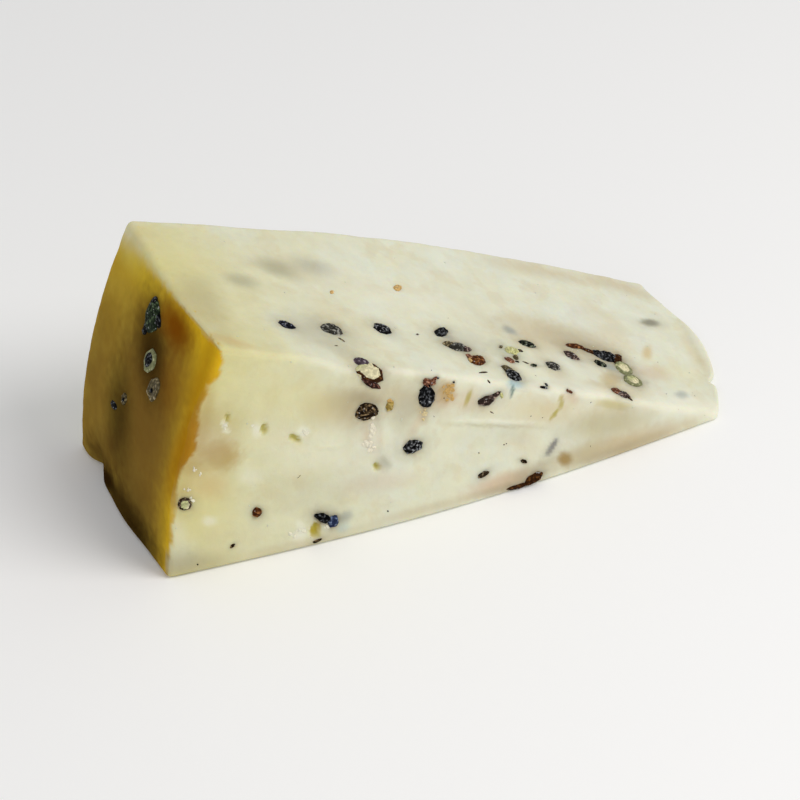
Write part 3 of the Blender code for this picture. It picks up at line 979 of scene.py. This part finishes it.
def paste_material(looks):
    """Cut paste, its rind, and what is laid on both, stains with painted glow, highlight and shade, from the
    wedge's own attributes.
    """
    maker = NodeMaker("gouda_paste")
    rind = maker.attribute("rind")

    paste = blotched(maker, looks.pale, MARBLING, looks)
    paste = maker.mix(maker.attribute("near_rind"), paste, looks.yellow)
    paste = blotched(maker, paste, CLOUDS, looks)
    # Painted highlight along the top front edge, where its rounding catches the light
    paste = maker.mix(maker.attribute("dry_edge"), paste, looks.edge)
    paste = maker.shade(paste, maker.ramp(maker.noise(5 * MM, detail=4, roughness=0.6), 0.3, 0.7, 0.97, 1.03))

    wax = maker.mix(maker.ramp(maker.noise(12 * MM, detail=3), 0.35, 0.68), looks.dark, looks.brown)
    # Painted glow: the rind turns amber towards its top and front edges, where light comes through the paste
    wax = maker.mix(maker.attribute("glow"), wax, looks.amber)
    wax = maker.shade(wax, maker.ramp(maker.noise(3 * MM, detail=2), 0.3, 0.7, 0.97, 1.03))
    colour = maker.mix(rind, paste, wax)

    # The stains, with the glow, highlights and shade painted among them
    colour = maker.mix(maker.attribute("stain_amount"), colour, (0, 0, 0))
    colour = maker.mix(1, colour, maker.attribute("stain", "Color"), "ADD")

    rough_cut = maker.ramp(rind, 0, 1, 1, 0.12)
    swells = maker.noise(3.2 * MM, detail=3)
    scratches = maker.noise(2.0 * MM, detail=2, stretch=(0.2, 1, 1))
    pits = maker.ramp(maker.cells(1.7 * MM), 0.0, 0.22)
    grain = maker.noise(0.9 * MM, detail=5, roughness=0.65)
    normal = None
    for relief, depth, strength in (
        (swells, 0.30, 0.45), (scratches, 0.10, 0.4), (pits, 0.05, 0.35), (grain, 0.10, 0.5),
    ):
        normal = maker.bump(relief, depth * MM, strength, normal, rough_cut)
    gloss = maker.noise(2.4 * MM, detail=3)
    rough = maker.ramp(gloss, 0.3, 0.7, looks.roughness - 0.08, looks.roughness + 0.1)
    return maker.finish(
        colour, rough, normal, Subsurface_Weight=0.3, Subsurface_Radius=(1.0, 0.62, 0.28),
        Subsurface_Scale=3 * MM, Specular_IOR_Level=0.0,
    )


def pepper_material(name, roughness, fleck, glint_share, contrast):
    """Husk or kernel in its grain's own tint, with fine wrinkles and pale painted glints."""
    maker = NodeMaker(name)
    mottling = maker.noise(0.5 * MM, detail=4, roughness=0.7)
    colour = maker.attribute("tint", "Color")
    colour = maker.shade(colour, maker.ramp(mottling, 0.3, 0.7, 1 - contrast, 1 + contrast))
    glints = maker.ramp(maker.noise(0.5 * MM, detail=1), 0.68, 0.74, 0, glint_share)
    colour = maker.mix(glints, colour, fleck)
    normal = maker.bump(maker.noise(0.7 * MM, detail=4, roughness=0.7), 0.4 * contrast * MM, 0.8)
    rough = maker.ramp(maker.noise(0.8 * MM, detail=2), 0.35, 0.65, roughness - 0.12, roughness + 0.15)
    return maker.finish(colour, rough, normal, Specular_IOR_Level=0.03)


def plain_material(name, colour, roughness, translucence=0.0):
    """A finish with fine grain for scattered scraps."""
    maker = NodeMaker(name)
    mottled = maker.mix(maker.noise(0.8 * MM, detail=3), tuple(c * 0.6 for c in colour), colour)
    normal = maker.bump(maker.noise(0.3 * MM, detail=3), 0.08 * MM, 0.7)
    return maker.finish(
        mottled, None, normal, Roughness=roughness, Subsurface_Weight=translucence, Subsurface_Scale=1 * MM
    )


class GOUDA_OT_wedge(bpy.types.Operator):
    """Builds the cheese: its cut faces, rind and broken tip, with eyes, sockets, stains, and painted glow,
    highlight and shade
    """

    bl_idname = "gouda.wedge"
    bl_label = "Cheese wedge"

    # Low relief of the free faces, which fades out towards the foot
    RELIEF_LENGTH = 3.4 * MM
    RELIEF_HEIGHT = 0.09 * MM
    FREE_HEIGHT = 3 * MM
    # Dents: how far each reaches, as a share of its patch, and how uneven its rim is
    LEDGE_DENT = (1.08, 0.3)
    EYE_DENT = (1.2, 0.3)
    SUNK_DENT = 1.2
    SUNK_DEPTH = 0.3 * MM
    SOCKET_DENT = 1.5
    CUT_DENT = 1.4

    # What soaks into a patch, and the shade painted into each eye's hollow: how strong it is, how soft its
    # rim, and how far it reaches
    HALO_SOAK = (0.28, 0.8, 1.7)
    RIM_SOAK = (0.4, 0.4, 1.1)
    EYE_SOAK = (0.8, 0.5)

    YELLOW_REACH = 22 * MM
    # How far the rind's painted glow reaches down from its top and back from its front corner, as shares of
    # the wedge
    TOP_GLOW_REACH = 0.15
    FRONT_GLOW_REACH = 0.10
    RIND_DEPTH = 1.1 * MM
    RIND_WOBBLE = 0.35 * MM
    RIND_FADE = 0.4 * MM
    # On the front face the rind's depth is left to the corner's reaches, except at the very top
    FRONT_DEPTH = 3 * MM
    FRONT_SHARE = 0.02
    FRONT_TOP = 0.97
    # How far under the top edge the rind is pale, in front and at the back
    PALE_RIM = (0.3 * MM, 7.0 * MM)
    PALE_START = 0.15
    CORNER_FADE = 0.5 * MM
    # How uneven these two borders are, in millimetres
    PALE_WOBBLE = 0.4
    CORNER_WOBBLE = 0.5
    # How far the rind reaches round its front corner, in millimetres, at heights from foot to top
    CORNER_HEIGHTS = (0, 0.08, 0.17, 0.25, 0.35, 0.42, 0.5, 0.58, 0.66, 0.76, 0.85, 0.91, 0.96, 1)
    CORNER_REACHES = (-0.4, 0, 0.3, 0.4, 0.9, 0.1, 0.2, 2.2, 1.6, 0.3, 0.8, 1.9, 1.4, 0.2)
    # The painted highlight on the rounded top front edge: its reach, how much narrower it is on the front
    # face, where it starts, how strong it is
    DRY_REACH = 1.6 * MM
    DRY_SLIMNESS = 1.8
    DRY_START = (0.1, 0.3)
    DRY_STRENGTH = 0.9
    # The middle and the spread of the band of pepper, from front to back
    PEPPER_BAND = (0.24, 0.22)
    # Where the band begins and ends, from rim to tip
    BAND_START = (0.15, 0.45)
    BAND_END = (0.86, 0.98)
    # Nothing is scattered on the rind or this near the floor
    LEAST_RIND = 0.05
    BARE_HEIGHT = 1.5 * MM

    def execute(self, context):
        shape = WedgeShape(context.scene.gouda_wedge)
        grid = WedgeMesh(shape)
        mesh = grid.build()
        sight = Sight(context)
        surface = Surface(mesh)
        looks = context.scene.gouda_pepper
        corns = [*seen_corns(sight, looks), *hidden_corns(sight, looks)]
        self.carve(surface, sight, corns, looks)
        box_places = np.array(grid.box_places)
        surface.rind = self.rind_share(surface, box_places, shape)
        self.stain(surface, sight, corns, looks, context.scene.gouda_paste.halo)
        self.mark_faces(mesh, surface, box_places, shape)
        material = paste_material(context.scene.gouda_paste)
        add_piece(context, "gouda_wedge", mesh, material)
        return {"FINISHED"}

    def carve(self, surface, sight, corns, looks):
        free = np.clip(surface.places[:, 2] / self.FREE_HEIGHT, 0, 1)
        steps = [Vector(place) / self.RELIEF_LENGTH for place in surface.places]
        relief = np.array([noise.fractal(step, 0.8, 2.0, 3) for step in steps])
        surface.height += relief * self.RELIEF_HEIGHT * free
        for mark in LEDGES:
            surface.dent(PixelPatch(sight, *mark), -LEDGE_HEIGHT, *self.LEDGE_DENT)
        for eye in eyes(sight, looks):
            surface.dent(eye, EYE_DEPTH, *self.EYE_DENT)
        for corn in corns:
            if corn.proud < 0:
                surface.dent(corn.patch, looks.socket + self.SUNK_DEPTH, self.SUNK_DENT)
            else:
                surface.dent(corn.patch, looks.socket * clamped(corn.proud / looks.proud), self.SOCKET_DENT)
        for husk, *_ in CUT_CORNS:
            surface.dent(PixelPatch(sight, *husk), looks.socket, self.CUT_DENT)
        surface.places += surface.normals * surface.height[:, None]
        surface.places[:, 2] = np.maximum(surface.places[:, 2], 0)
        surface.mesh.vertices.foreach_set("co", surface.places.ravel())
        surface.mesh.update()

    def stain(self, surface, sight, corns, pepper, halo):
        colours = {name: linear(srgb) for name, srgb in STAIN_AND_PAINTED_LIGHT_COLOURS.items()}
        for *mark, name, strength, softness in STAINS_AND_PAINTED_LIGHT:
            surface.soak(PixelPatch(sight, *mark), colours[name], strength, softness)
        dark_marks = [corn.patch for corn in corns if corn.kind not in PALE_KINDS]
        for patch in (*dark_marks, *(PixelPatch(sight, *husk) for husk, *_ in CUT_CORNS)):
            if patch.out.x > RIND_FACING:
                surface.soak(patch, halo, *self.HALO_SOAK)
                surface.soak(patch, colours["taupe"], *self.RIM_SOAK)
        # Each eye's hollow is painted a darker olive: painted shade
        for eye in eyes(sight, pepper):
            surface.soak(eye, colours["moss"], *self.EYE_SOAK)

    def rim_depth(self, surface, boxed, shape):
        """How far behind the rind's face each point lies."""
        rim = np.array([shape.rim_place(b, c) for _, b, c in boxed]) - BASE_CENTRE.x
        return surface.places[:, 0] - rim

    def rind_share(self, surface, boxed, shape):
        """1 on the rind and 0 on the cut faces, with an uneven border between."""
        _, b, c = boxed.T
        depth = self.rim_depth(surface, boxed, shape)
        uneven = self.RIND_DEPTH + surface.wobble * self.RIND_WOBBLE
        reach = np.where((c < self.FRONT_SHARE) & (b < self.FRONT_TOP), self.FRONT_DEPTH, uneven)
        rind = np.clip((reach - depth) / self.RIND_FADE, 0, 1)
        below_top = (1 - b) * shape.rim_height + surface.wobble * self.PALE_WOBBLE * MM
        pale_rim = blend(*self.PALE_RIM, c * c)
        rind *= np.where(depth < self.RIND_DEPTH, smooth_step(self.PALE_START, 1, below_top / pale_rim), 1)
        round_corner = depth - c * shape.width + surface.wobble * self.CORNER_WOBBLE * MM
        corner_reach = np.interp(b, self.CORNER_HEIGHTS, self.CORNER_REACHES) * MM
        return rind * (1 - smooth_step(-self.CORNER_FADE, self.CORNER_FADE, round_corner - corner_reach))

    def mark_faces(self, mesh, surface, boxed, shape):
        """Gives each point its shares of rind, yellow, painted glow, painted edge highlight, dust, crumbs, and
        stain and painted light.
        """
        rind = surface.rind
        a, b, c = boxed.T
        depth = self.rim_depth(surface, boxed, shape)
        near = np.exp(-np.clip(depth, 0, None) / self.YELLOW_REACH)
        glow = np.clip(np.exp(-(1 - b) / self.TOP_GLOW_REACH) + np.exp(-c / self.FRONT_GLOW_REACH), 0, 1)
        from_edge = np.hypot((1 - b) * shape.rim_height * (1 - a) * self.DRY_SLIMNESS, c * shape.width)
        edge_highlight = np.exp(-((from_edge / self.DRY_REACH) ** 2)) * smooth_step(*self.DRY_START, a)
        band = np.exp(-(((c - self.PEPPER_BAND[0]) / self.PEPPER_BAND[1]) ** 2))
        dust = band * smooth_step(*self.BAND_START, a) * (1 - smooth_step(*self.BAND_END, a))
        dust = np.clip(dust, 0, 1) * np.clip(0.4 + surface.wobble, 0, 1)
        crumbs = np.clip(1.4 * surface.wobble, 0, 1)
        bare = (rind > self.LEAST_RIND) | (surface.places[:, 2] < self.BARE_HEIGHT)
        for name, values in (
            ("rind", rind), ("near_rind", near), ("glow", glow), ("dry_edge", edge_highlight * self.DRY_STRENGTH),
            ("dust", np.where(bare, 0, dust)), ("crumbs", np.where(bare, 0, crumbs)),
            ("stain_amount", surface.amount),
        ):
            write_attribute(mesh, name, values)
        write_colours(mesh, "stain", surface.colour)


def write_attribute(mesh, name, values):
    mesh.attributes.new(name, "FLOAT", "POINT").data.foreach_set("value", np.asarray(values, dtype=float))


def write_colours(mesh, name, colours):
    with_alpha = np.hstack((colours, np.ones((len(colours), 1))))
    mesh.attributes.new(name, "FLOAT_COLOR", "POINT").data.foreach_set("color", with_alpha.ravel())


def rough_outline(draw, corners, jag):
    """How far a cracked grain reaches at any turn: a polygon near the unit circle, with a fine ripple."""
    turns = [math.tau * (i + draw.uniform(-0.28, 0.28)) / corners for i in range(corners)]
    reaches = [1 + draw.uniform(-jag, jag) for _ in turns]
    ripples = [(k, draw.uniform(0, math.tau), draw.uniform(0.2, 0.5) * jag * 3 / k) for k in (7, 11, 17)]

    def reach(turn):
        for i in range(corners):
            step = (turns[(i + 1) % corners] - turns[i]) % math.tau
            past = (turn - turns[i]) % math.tau
            if past <= step:
                near, far = reaches[i], reaches[(i + 1) % corners]
                side = near * far * math.sin(step) / (near * math.sin(past) + far * math.sin(step - past))
                return side + sum(size * math.sin(k * turn + phase) for k, phase, size in ripples)

    return reach


class Grains:
    """Collects closed grains in one mesh, each laid over its patch, with a tint for every point."""

    EDGE_DROP = 0.12 * MM
    WRINKLE = 0.75 * MM
    # The rows of points underneath: how deep each is, as a share of the depth, and how far out
    UNDERSIDE = ((0.45, 0.99), (1.0, 0.75))
    LOWEST = 1.05

    def __init__(self):
        self.places = []
        self.faces = []
        self.tints = []

    def add(
        self, patch, number, proud, sunk, tint, rings=11, segments=36, jag=0.13, relief=0.20 * MM, dish=0.0,
    ):
        """One grain. tint(u, v, crest) gives a point's colour; crest is 0 in hollows and 1 on ridges."""
        draw = random.Random(number)
        along, across = patch.axes()
        outline = rough_outline(draw, draw.randint(6, 9), jag)
        shift = Vector((draw.uniform(0, 50), draw.uniform(0, 50), draw.uniform(0, 50)))
        start = len(self.places)
        for ring in range(rings + 1):
            share = (ring / rings) ** 0.8
            for segment in range(segments if ring else 1):
                turn = math.tau * segment / segments
                reach = share * blend(1, outline(turn), share)
                u, v = reach * math.cos(turn), reach * math.sin(turn)
                place = patch.at(u, v)[0]
                flat = (along * u + across * v) / self.WRINKLE + shift
                ridge = 1 - abs(noise.noise(flat * 0.8)) * 2.2
                grit = noise.fractal(flat * 1.9, 0.8, 2.0, 3)
                crest = clamped(0.46 + 0.8 * (ridge - 0.5) + 0.7 * grit)
                bowl = dish * smooth_step(0.35, 0.8, share) * (1 - share ** 8)
                dome = (1 - share ** 3.2) * (1 - dish) + bowl
                wrinkles = relief * (crest - 0.6) * (1 - share ** 6)
                height = proud * dome + wrinkles - self.EDGE_DROP * share ** 8
                self.places.append(place + patch.out * height)
                self.tints.append(tint(u, v, crest))
        rim = start + 1 + (rings - 1) * segments
        middle = patch.place
        for depth, nearer in self.UNDERSIDE:
            for segment in range(segments):
                place = self.places[rim + segment]
                self.places.append(middle + (place - middle) * nearer - patch.out * sunk * depth)
                self.tints.append(self.tints[rim + segment])
        self.places.append(middle - patch.out * sunk * self.LOWEST)
        self.tints.append(self.tints[rim])
        self.close(start, rings + len(self.UNDERSIDE), segments)

    def close(self, start, rows, segments):
        """The faces between a centre, its rows of points, and the last point underneath."""
        last = start + 1 + rows * segments
        for segment in range(segments):
            after = (segment + 1) % segments
            self.faces.append((start, start + 1 + segment, start + 1 + after))
            for row in range(rows - 1):
                near = start + 1 + row * segments
                far = near + segments
                self.faces.append((near + segment, far + segment, far + after, near + after))
            end = start + 1 + (rows - 1) * segments
            self.faces.append((end + after, end + segment, last))

    def mesh(self, name):
        mesh = bpy.data.meshes.new(name)
        mesh.from_pydata(self.places, [], self.faces)
        outward(mesh)
        write_colours(mesh, "tint", np.array(self.tints))
        return mesh


# The higher, the fewer of a husk's points take the highlight painted on its crests
CREST_POWER = 6


def husk_tint(kind):
    """A husk's own colour in its hollows, blending to the highlight painted on its crests."""
    hollow, painted_crest_highlight = (Vector(linear(colour)) for colour in HUSK_COLOURS_AND_HIGHLIGHTS[kind])

    def tint(_u, _v, crest):
        return tuple(hollow.lerp(painted_crest_highlight, crest ** CREST_POWER))

    return tint


def kernel_tint(looks, green_until):
    """A kernel's colour, unripe green up to the given place along it, darker in its cracks and lighter on its
    crests as painted shade and highlight.
    """

    def tint(u, v, crest):
        ripe = smooth_step(green_until - 0.35, green_until + 0.35, u + 0.5 * v)
        colour = Vector(looks.green_kernel).lerp(Vector(looks.kernel), float(ripe))
        return tuple(min(0.9, channel * (0.78 + 0.4 * crest)) for channel in colour)

    return tint


class GOUDA_OT_peppercorns(bpy.types.Operator):
    """Builds the whole and cracked peppercorns, dark ones in one piece and pale scraps in another"""

    bl_idname = "gouda.peppercorns"
    bl_label = "Peppercorns"

    RELIEF = 0.26 * MM
    # Slivers: how far they stand out and reach in, then their rings, segments, jag and relief
    SLIVER_PROUD = 0.10 * MM
    SLIVER_SUNK = 0.3 * MM
    SLIVER_FORM = (3, 14, 0.2, 0.05 * MM)
    # Shells: how far each kind stands out, and their rings and segments
    SHELL_PROUD = {"jet": 0.3 * MM, "mauve": 0.5 * MM, "maroon": 0.5 * MM}
    SHELL_FORM = (8, 26)

    def execute(self, context):
        looks = context.scene.gouda_pepper
        sight = Sight(context)
        dark, pale = Grains(), Grains()
        for corn in (*seen_corns(sight, looks), *hidden_corns(sight, looks)):
            grains = pale if corn.kind in PALE_KINDS else dark
            relief = self.RELIEF * clamped(abs(corn.proud) / looks.proud, 0.25, 1)
            grains.add(corn.patch, corn.number, corn.proud, looks.sunk, husk_tint(corn.kind), relief=relief)
        number = SLIVER_NUMBERS
        for kind, marks in SLIVERS.items():
            for mark in marks:
                number += 1
                tint = husk_tint(kind)
                patch = PixelPatch(sight, *mark)
                dark.add(patch, number, self.SLIVER_PROUD, self.SLIVER_SUNK, tint, *self.SLIVER_FORM)
        for kind, marks in SHELLS.items():
            for mark in marks:
                number += 1
                patch = PixelPatch(sight, *mark)
                dark.add(patch, number, self.SHELL_PROUD[kind], looks.sunk, husk_tint(kind), *self.SHELL_FORM)
        material = pepper_material("peppercorn", 0.40, looks.fleck, 0.6, 0.4)
        add_piece(context, "black_peppercorns", dark.mesh("black_peppercorns"), material)
        add_piece(context, "pale_pepper_scraps", pale.mesh("pale_pepper_scraps"), material)
        return {"FINISHED"}


class GOUDA_OT_cut_corns(bpy.types.Operator):
    """Builds the peppercorns that the knife has halved, each with its kernel inside its husk"""

    bl_idname = "gouda.cut_corns"
    bl_label = "Cut peppercorns"

    # Cut peppercorns longer than this many pixels, with a kernel, are built finer and stand further out
    BIG_LENGTH = 24
    BIG_FORM = (18, 60)
    SMALL_FORM = (12, 40)
    BIG_PROUD = 0.9
    SMALL_PROUD = 0.45
    # A kernel stands this many times as far out as its husk
    KERNEL_PROUD = 1.5
    DISH = 0.9
    # Jag and relief
    HUSK_FINISH = (0.05, 0.05 * MM)
    KERNEL_FINISH = (0.03, 0.18 * MM)

    def execute(self, context):
        looks = context.scene.gouda_pepper
        sight = Sight(context)
        husks, kernels = Grains(), Grains()
        for number, (husk, kernel, kind, green_until) in enumerate(CUT_CORNS, CUT_NUMBERS):
            big = husk[2] > self.BIG_LENGTH and kernel
            form = self.BIG_FORM if big else self.SMALL_FORM
            proud = looks.proud * (self.BIG_PROUD if big else self.SMALL_PROUD)
            husks.add(
                PixelPatch(sight, *husk), number, proud, looks.sunk, husk_tint(kind),
                *form, *self.HUSK_FINISH, dish=self.DISH,
            )
            if kernel:
                kernels.add(
                    PixelPatch(sight, *kernel), number + KERNEL_SHIFT, proud * self.KERNEL_PROUD,
                    looks.sunk, kernel_tint(looks, green_until), *form, *self.KERNEL_FINISH,
                )
        husk_finish = pepper_material("cut_husk", 0.45, looks.fleck, 0.3, 0.3)
        add_piece(context, "cut_husks", husks.mesh("cut_husks"), husk_finish)
        kernel_finish = pepper_material("kernel", 0.6, looks.fleck, 0.0, 0.1)
        add_piece(context, "cut_kernels", kernels.mesh("cut_kernels"), kernel_finish)
        return {"FINISHED"}


CRUMB_COLOURS = {
    "cream": (228, 221, 198), "amber": (196, 160, 98), "straw": (214, 196, 150), "lime": (206, 204, 144),
    "white": (228, 224, 200),
}
# Clusters of crumbs: x, y, spread along and across, turn, how many, the largest in pixels, and their colour
CRUMB_CLUSTERS = (
    (372.6, 431, 26, 7, 88, 12, 10, "cream"), (369, 446, 16, 7, 0, 8, 11, "cream"),
    (304, 430, 8, 6, 0, 2, 7, "white"), (254, 429, 10, 5, 80, 2, 6, "white"),
    (224.6, 427, 10, 4, 80, 3, 6, "white"), (300, 533, 16, 10, 0, 5, 8, "white"),
    (327, 527, 7, 5, 0, 3, 6, "white"), (449, 391, 15, 14, 100, 34, 6, "amber"),
    (424, 415, 14, 8, 90, 8, 6, "straw"), (511, 350, 10, 5, 10, 5, 7, "lime"),
    (390, 407, 11, 7, 116, 5, 6, "amber"), (192, 500, 5, 6, 0, 2, 6, "white"),
    (186, 490, 7, 5, 0, 3, 5, "cream"), (197, 470, 13, 5, 30, 6, 4, "cream"),
    (188, 490, 6, 4, 0, 4, 3.4, "cream"),
)


class GOUDA_OT_crumbs(bpy.types.Operator):
    """Builds the clusters of cheese crumbs that the knife has left by the eyes and peppercorns"""

    bl_idname = "gouda.crumbs"
    bl_label = "Cheese crumbs"

    # How far a crumb stands out, in millimetres, and how far it reaches in
    PROUD = (0.06, 0.2)
    SUNK = 0.3 * MM
    # Rings, segments, jag and relief
    FORM = (6, 20, 0.3, 0.08 * MM)

    def execute(self, context):
        sight = Sight(context)
        draw = random.Random(context.scene.gouda_crumbs.crumb_seed)
        crumbs = Grains()
        number = CRUMB_NUMBERS
        for x, y, along, across, turn, count, largest, colour in CRUMB_CLUSTERS:
            cluster = PixelPatch(sight, x, y, along, across, turn)
            shade = Vector(linear(CRUMB_COLOURS[colour]))

            # Crumbs are lighter on the crests of their relief and darker in its hollows: painted highlight and
            # shade
            def tint(_u, _v, crest, shade=shade):
                return tuple(shade * (0.9 + 0.2 * crest))

            for _ in range(count):
                number += 1
                u, v = draw.gauss(0, 0.5), draw.gauss(0, 0.5)
                spot = [c + u * l + v * s for c, l, s in zip(cluster.centre, cluster.long, cluster.short)]
                size = largest * draw.uniform(0.4, 1)
                patch = PixelPatch(sight, *spot, size, size * draw.uniform(0.5, 0.9), draw.uniform(0, 180))
                crumbs.add(patch, number, draw.uniform(*self.PROUD) * MM, self.SUNK, tint, *self.FORM)
        add_piece(context, "cheese_crumbs", crumbs.mesh("cheese_crumbs"), crumb_material())
        return {"FINISHED"}


def crumb_material():
    maker = NodeMaker("cheese_crumb")
    normal = maker.bump(maker.noise(0.4 * MM, detail=3), 0.08 * MM, 0.6)
    return maker.finish(
        maker.attribute("tint", "Color"), None, normal, Roughness=0.6, Subsurface_Weight=0.1,
        Subsurface_Radius=(1.0, 0.8, 0.5), Subsurface_Scale=1 * MM, Specular_IOR_Level=0.1,
    )


# Scattered scraps, by Geometry Nodes

# The least and the greatest length, width and thickness of a scattered grain, in its settings' sizes
LEAST_STRETCH = (0.5, 0.25, 0.25)
MOST_STRETCH = (1.9, 0.9, 0.6)
DUST_COLOUR = (70, 58, 46)


def scatter_tree(name, attribute, material):
    """A tree that scatters small rough grains over a surface, as thick as its attribute says."""
    tree = bpy.data.node_groups.new(name, "GeometryNodeTree")
    face = tree.interface
    face.new_socket("Geometry", in_out="INPUT", socket_type="NodeSocketGeometry")
    for label in ("Density", "Size"):
        face.new_socket(label, in_out="INPUT", socket_type="NodeSocketFloat")
    face.new_socket("Seed", in_out="INPUT", socket_type="NodeSocketInt")
    face.new_socket("Geometry", in_out="OUTPUT", socket_type="NodeSocketGeometry")

    def add(kind, **settings):
        node = tree.nodes.new(kind)
        for setting, value in settings.items():
            setattr(node, setting, value)
        return node

    def join(source, target):
        tree.links.new(source, target)

    start, end = add("NodeGroupInput"), add("NodeGroupOutput")
    thickness = add("GeometryNodeInputNamedAttribute", data_type="FLOAT")
    thickness.inputs["Name"].default_value = attribute
    density = add("ShaderNodeMath", operation="MULTIPLY")
    join(thickness.outputs["Attribute"], density.inputs[0])
    join(start.outputs["Density"], density.inputs[1])
    points = add("GeometryNodeDistributePointsOnFaces")
    join(start.outputs["Geometry"], points.inputs["Mesh"])
    join(density.outputs["Value"], points.inputs["Density"])
    join(start.outputs["Seed"], points.inputs["Seed"])
    grain = add("GeometryNodeMeshIcoSphere")
    grain.inputs["Radius"].default_value = 0.5
    grain.inputs["Subdivisions"].default_value = 1
    spin = add("FunctionNodeRandomValue", data_type="FLOAT")
    spin.inputs[3].default_value = math.tau
    turn = add("FunctionNodeRotateRotation", rotation_space="LOCAL")
    about = add("FunctionNodeAxisAngleToRotation")
    join(spin.outputs[1], about.inputs["Angle"])
    join(points.outputs["Rotation"], turn.inputs["Rotation"])
    join(about.outputs["Rotation"], turn.inputs["Rotate By"])
    stretch = add("FunctionNodeRandomValue", data_type="FLOAT_VECTOR")
    stretch.inputs[0].default_value = LEAST_STRETCH
    stretch.inputs[1].default_value = MOST_STRETCH
    scale = add("ShaderNodeVectorMath", operation="SCALE")
    join(stretch.outputs[0], scale.inputs[0])
    join(start.outputs["Size"], scale.inputs["Scale"])
    grains = add("GeometryNodeInstanceOnPoints")
    join(points.outputs["Points"], grains.inputs["Points"])
    join(grain.outputs["Mesh"], grains.inputs["Instance"])
    join(turn.outputs["Rotation"], grains.inputs["Rotation"])
    join(scale.outputs["Vector"], grains.inputs["Scale"])
    whole = add("GeometryNodeRealizeInstances")
    join(grains.outputs["Instances"], whole.inputs["Geometry"])
    finish = add("GeometryNodeSetMaterial")
    finish.inputs["Material"].default_value = material
    join(whole.outputs["Geometry"], finish.inputs["Geometry"])
    join(finish.outputs["Geometry"], end.inputs["Geometry"])
    return tree


def scatter(context, name, attribute, material, settings):
    """Scatters grains over the wedge and keeps them as a plain mesh of their own."""
    tree = scatter_tree(name, attribute, material)
    source = bpy.data.objects.new(f"{name}_source", bpy.data.objects["gouda_wedge"].data)
    context.collection.objects.link(source)
    modifier = source.modifiers.new("scatter", "NODES")
    modifier.node_group = tree
    for socket in tree.interface.items_tree:
        if socket.in_out == "INPUT" and socket.name in settings:
            modifier[socket.identifier] = settings[socket.name]
    context.view_layer.update()
    evaluated = source.evaluated_get(context.evaluated_depsgraph_get())
    mesh = bpy.data.meshes.new_from_object(evaluated)
    source.modifiers.remove(modifier)
    bpy.data.objects.remove(source)
    mesh.name = name
    mesh.shade_smooth()
    return add_piece(context, name, mesh, material)


class GOUDA_OT_scatter(bpy.types.Operator):
    """Scatters pepper dust along the pepper's band, and small crumbs of cheese over the cuts"""

    bl_idname = "gouda.scatter"
    bl_label = "Dust and small crumbs"

    def execute(self, context):
        looks = context.scene.gouda_crumbs
        dust = plain_material("pepper_dust", linear(DUST_COLOUR), 0.6)
        scatter(
            context, "pepper_dust", "dust", dust,
            {"Density": looks.dust_density, "Size": looks.dust_size, "Seed": looks.dust_seed},
        )
        crumb = plain_material("fine_crumb", tuple(context.scene.gouda_paste.edge), 0.5, 0.3)
        scatter(
            context, "fine_crumbs", "crumbs", crumb,
            {"Density": looks.crumb_density, "Size": looks.crumb_size, "Seed": looks.crumb_seed},
        )
        return {"FINISHED"}


class GOUDA_PT_panel(bpy.types.Panel):
    """Lists the wedge's settings and the operators that build it"""

    bl_label = "Pepper gouda"
    bl_idname = "GOUDA_PT_panel"
    bl_space_type = "VIEW_3D"
    bl_region_type = "UI"
    bl_category = "Gouda"

    def draw(self, context):
        for name, group in GROUPS.items():
            box = self.layout.box()
            for setting in group.__annotations__:
                box.prop(getattr(context.scene, name), setting)
        for operator in OPERATORS:
            self.layout.operator(operator.bl_idname)


GROUPS = {
    "gouda_wedge": WedgeSizes,
    "gouda_paste": PasteLooks,
    "gouda_pepper": PepperLooks,
    "gouda_crumbs": CrumbLooks,
    "gouda_stage": StageLooks,
}
OPERATORS = (
    GOUDA_OT_stage, GOUDA_OT_wedge, GOUDA_OT_peppercorns, GOUDA_OT_cut_corns, GOUDA_OT_crumbs,
    GOUDA_OT_scatter,
)


def register():
    for each in (*GROUPS.values(), *OPERATORS, GOUDA_PT_panel):
        bpy.utils.register_class(each)
    for name, group in GROUPS.items():
        setattr(bpy.types.Scene, name, bpy.props.PointerProperty(type=group))


def unregister():
    for name in GROUPS:
        delattr(bpy.types.Scene, name)
    for each in (GOUDA_PT_panel, *reversed(OPERATORS), *GROUPS.values()):
        bpy.utils.unregister_class(each)


def main():
    register()
    for operator in OPERATORS:
        group, name = operator.bl_idname.split(".")
        getattr(getattr(bpy.ops, group), name)()


if __name__ == "__main__":
    main()
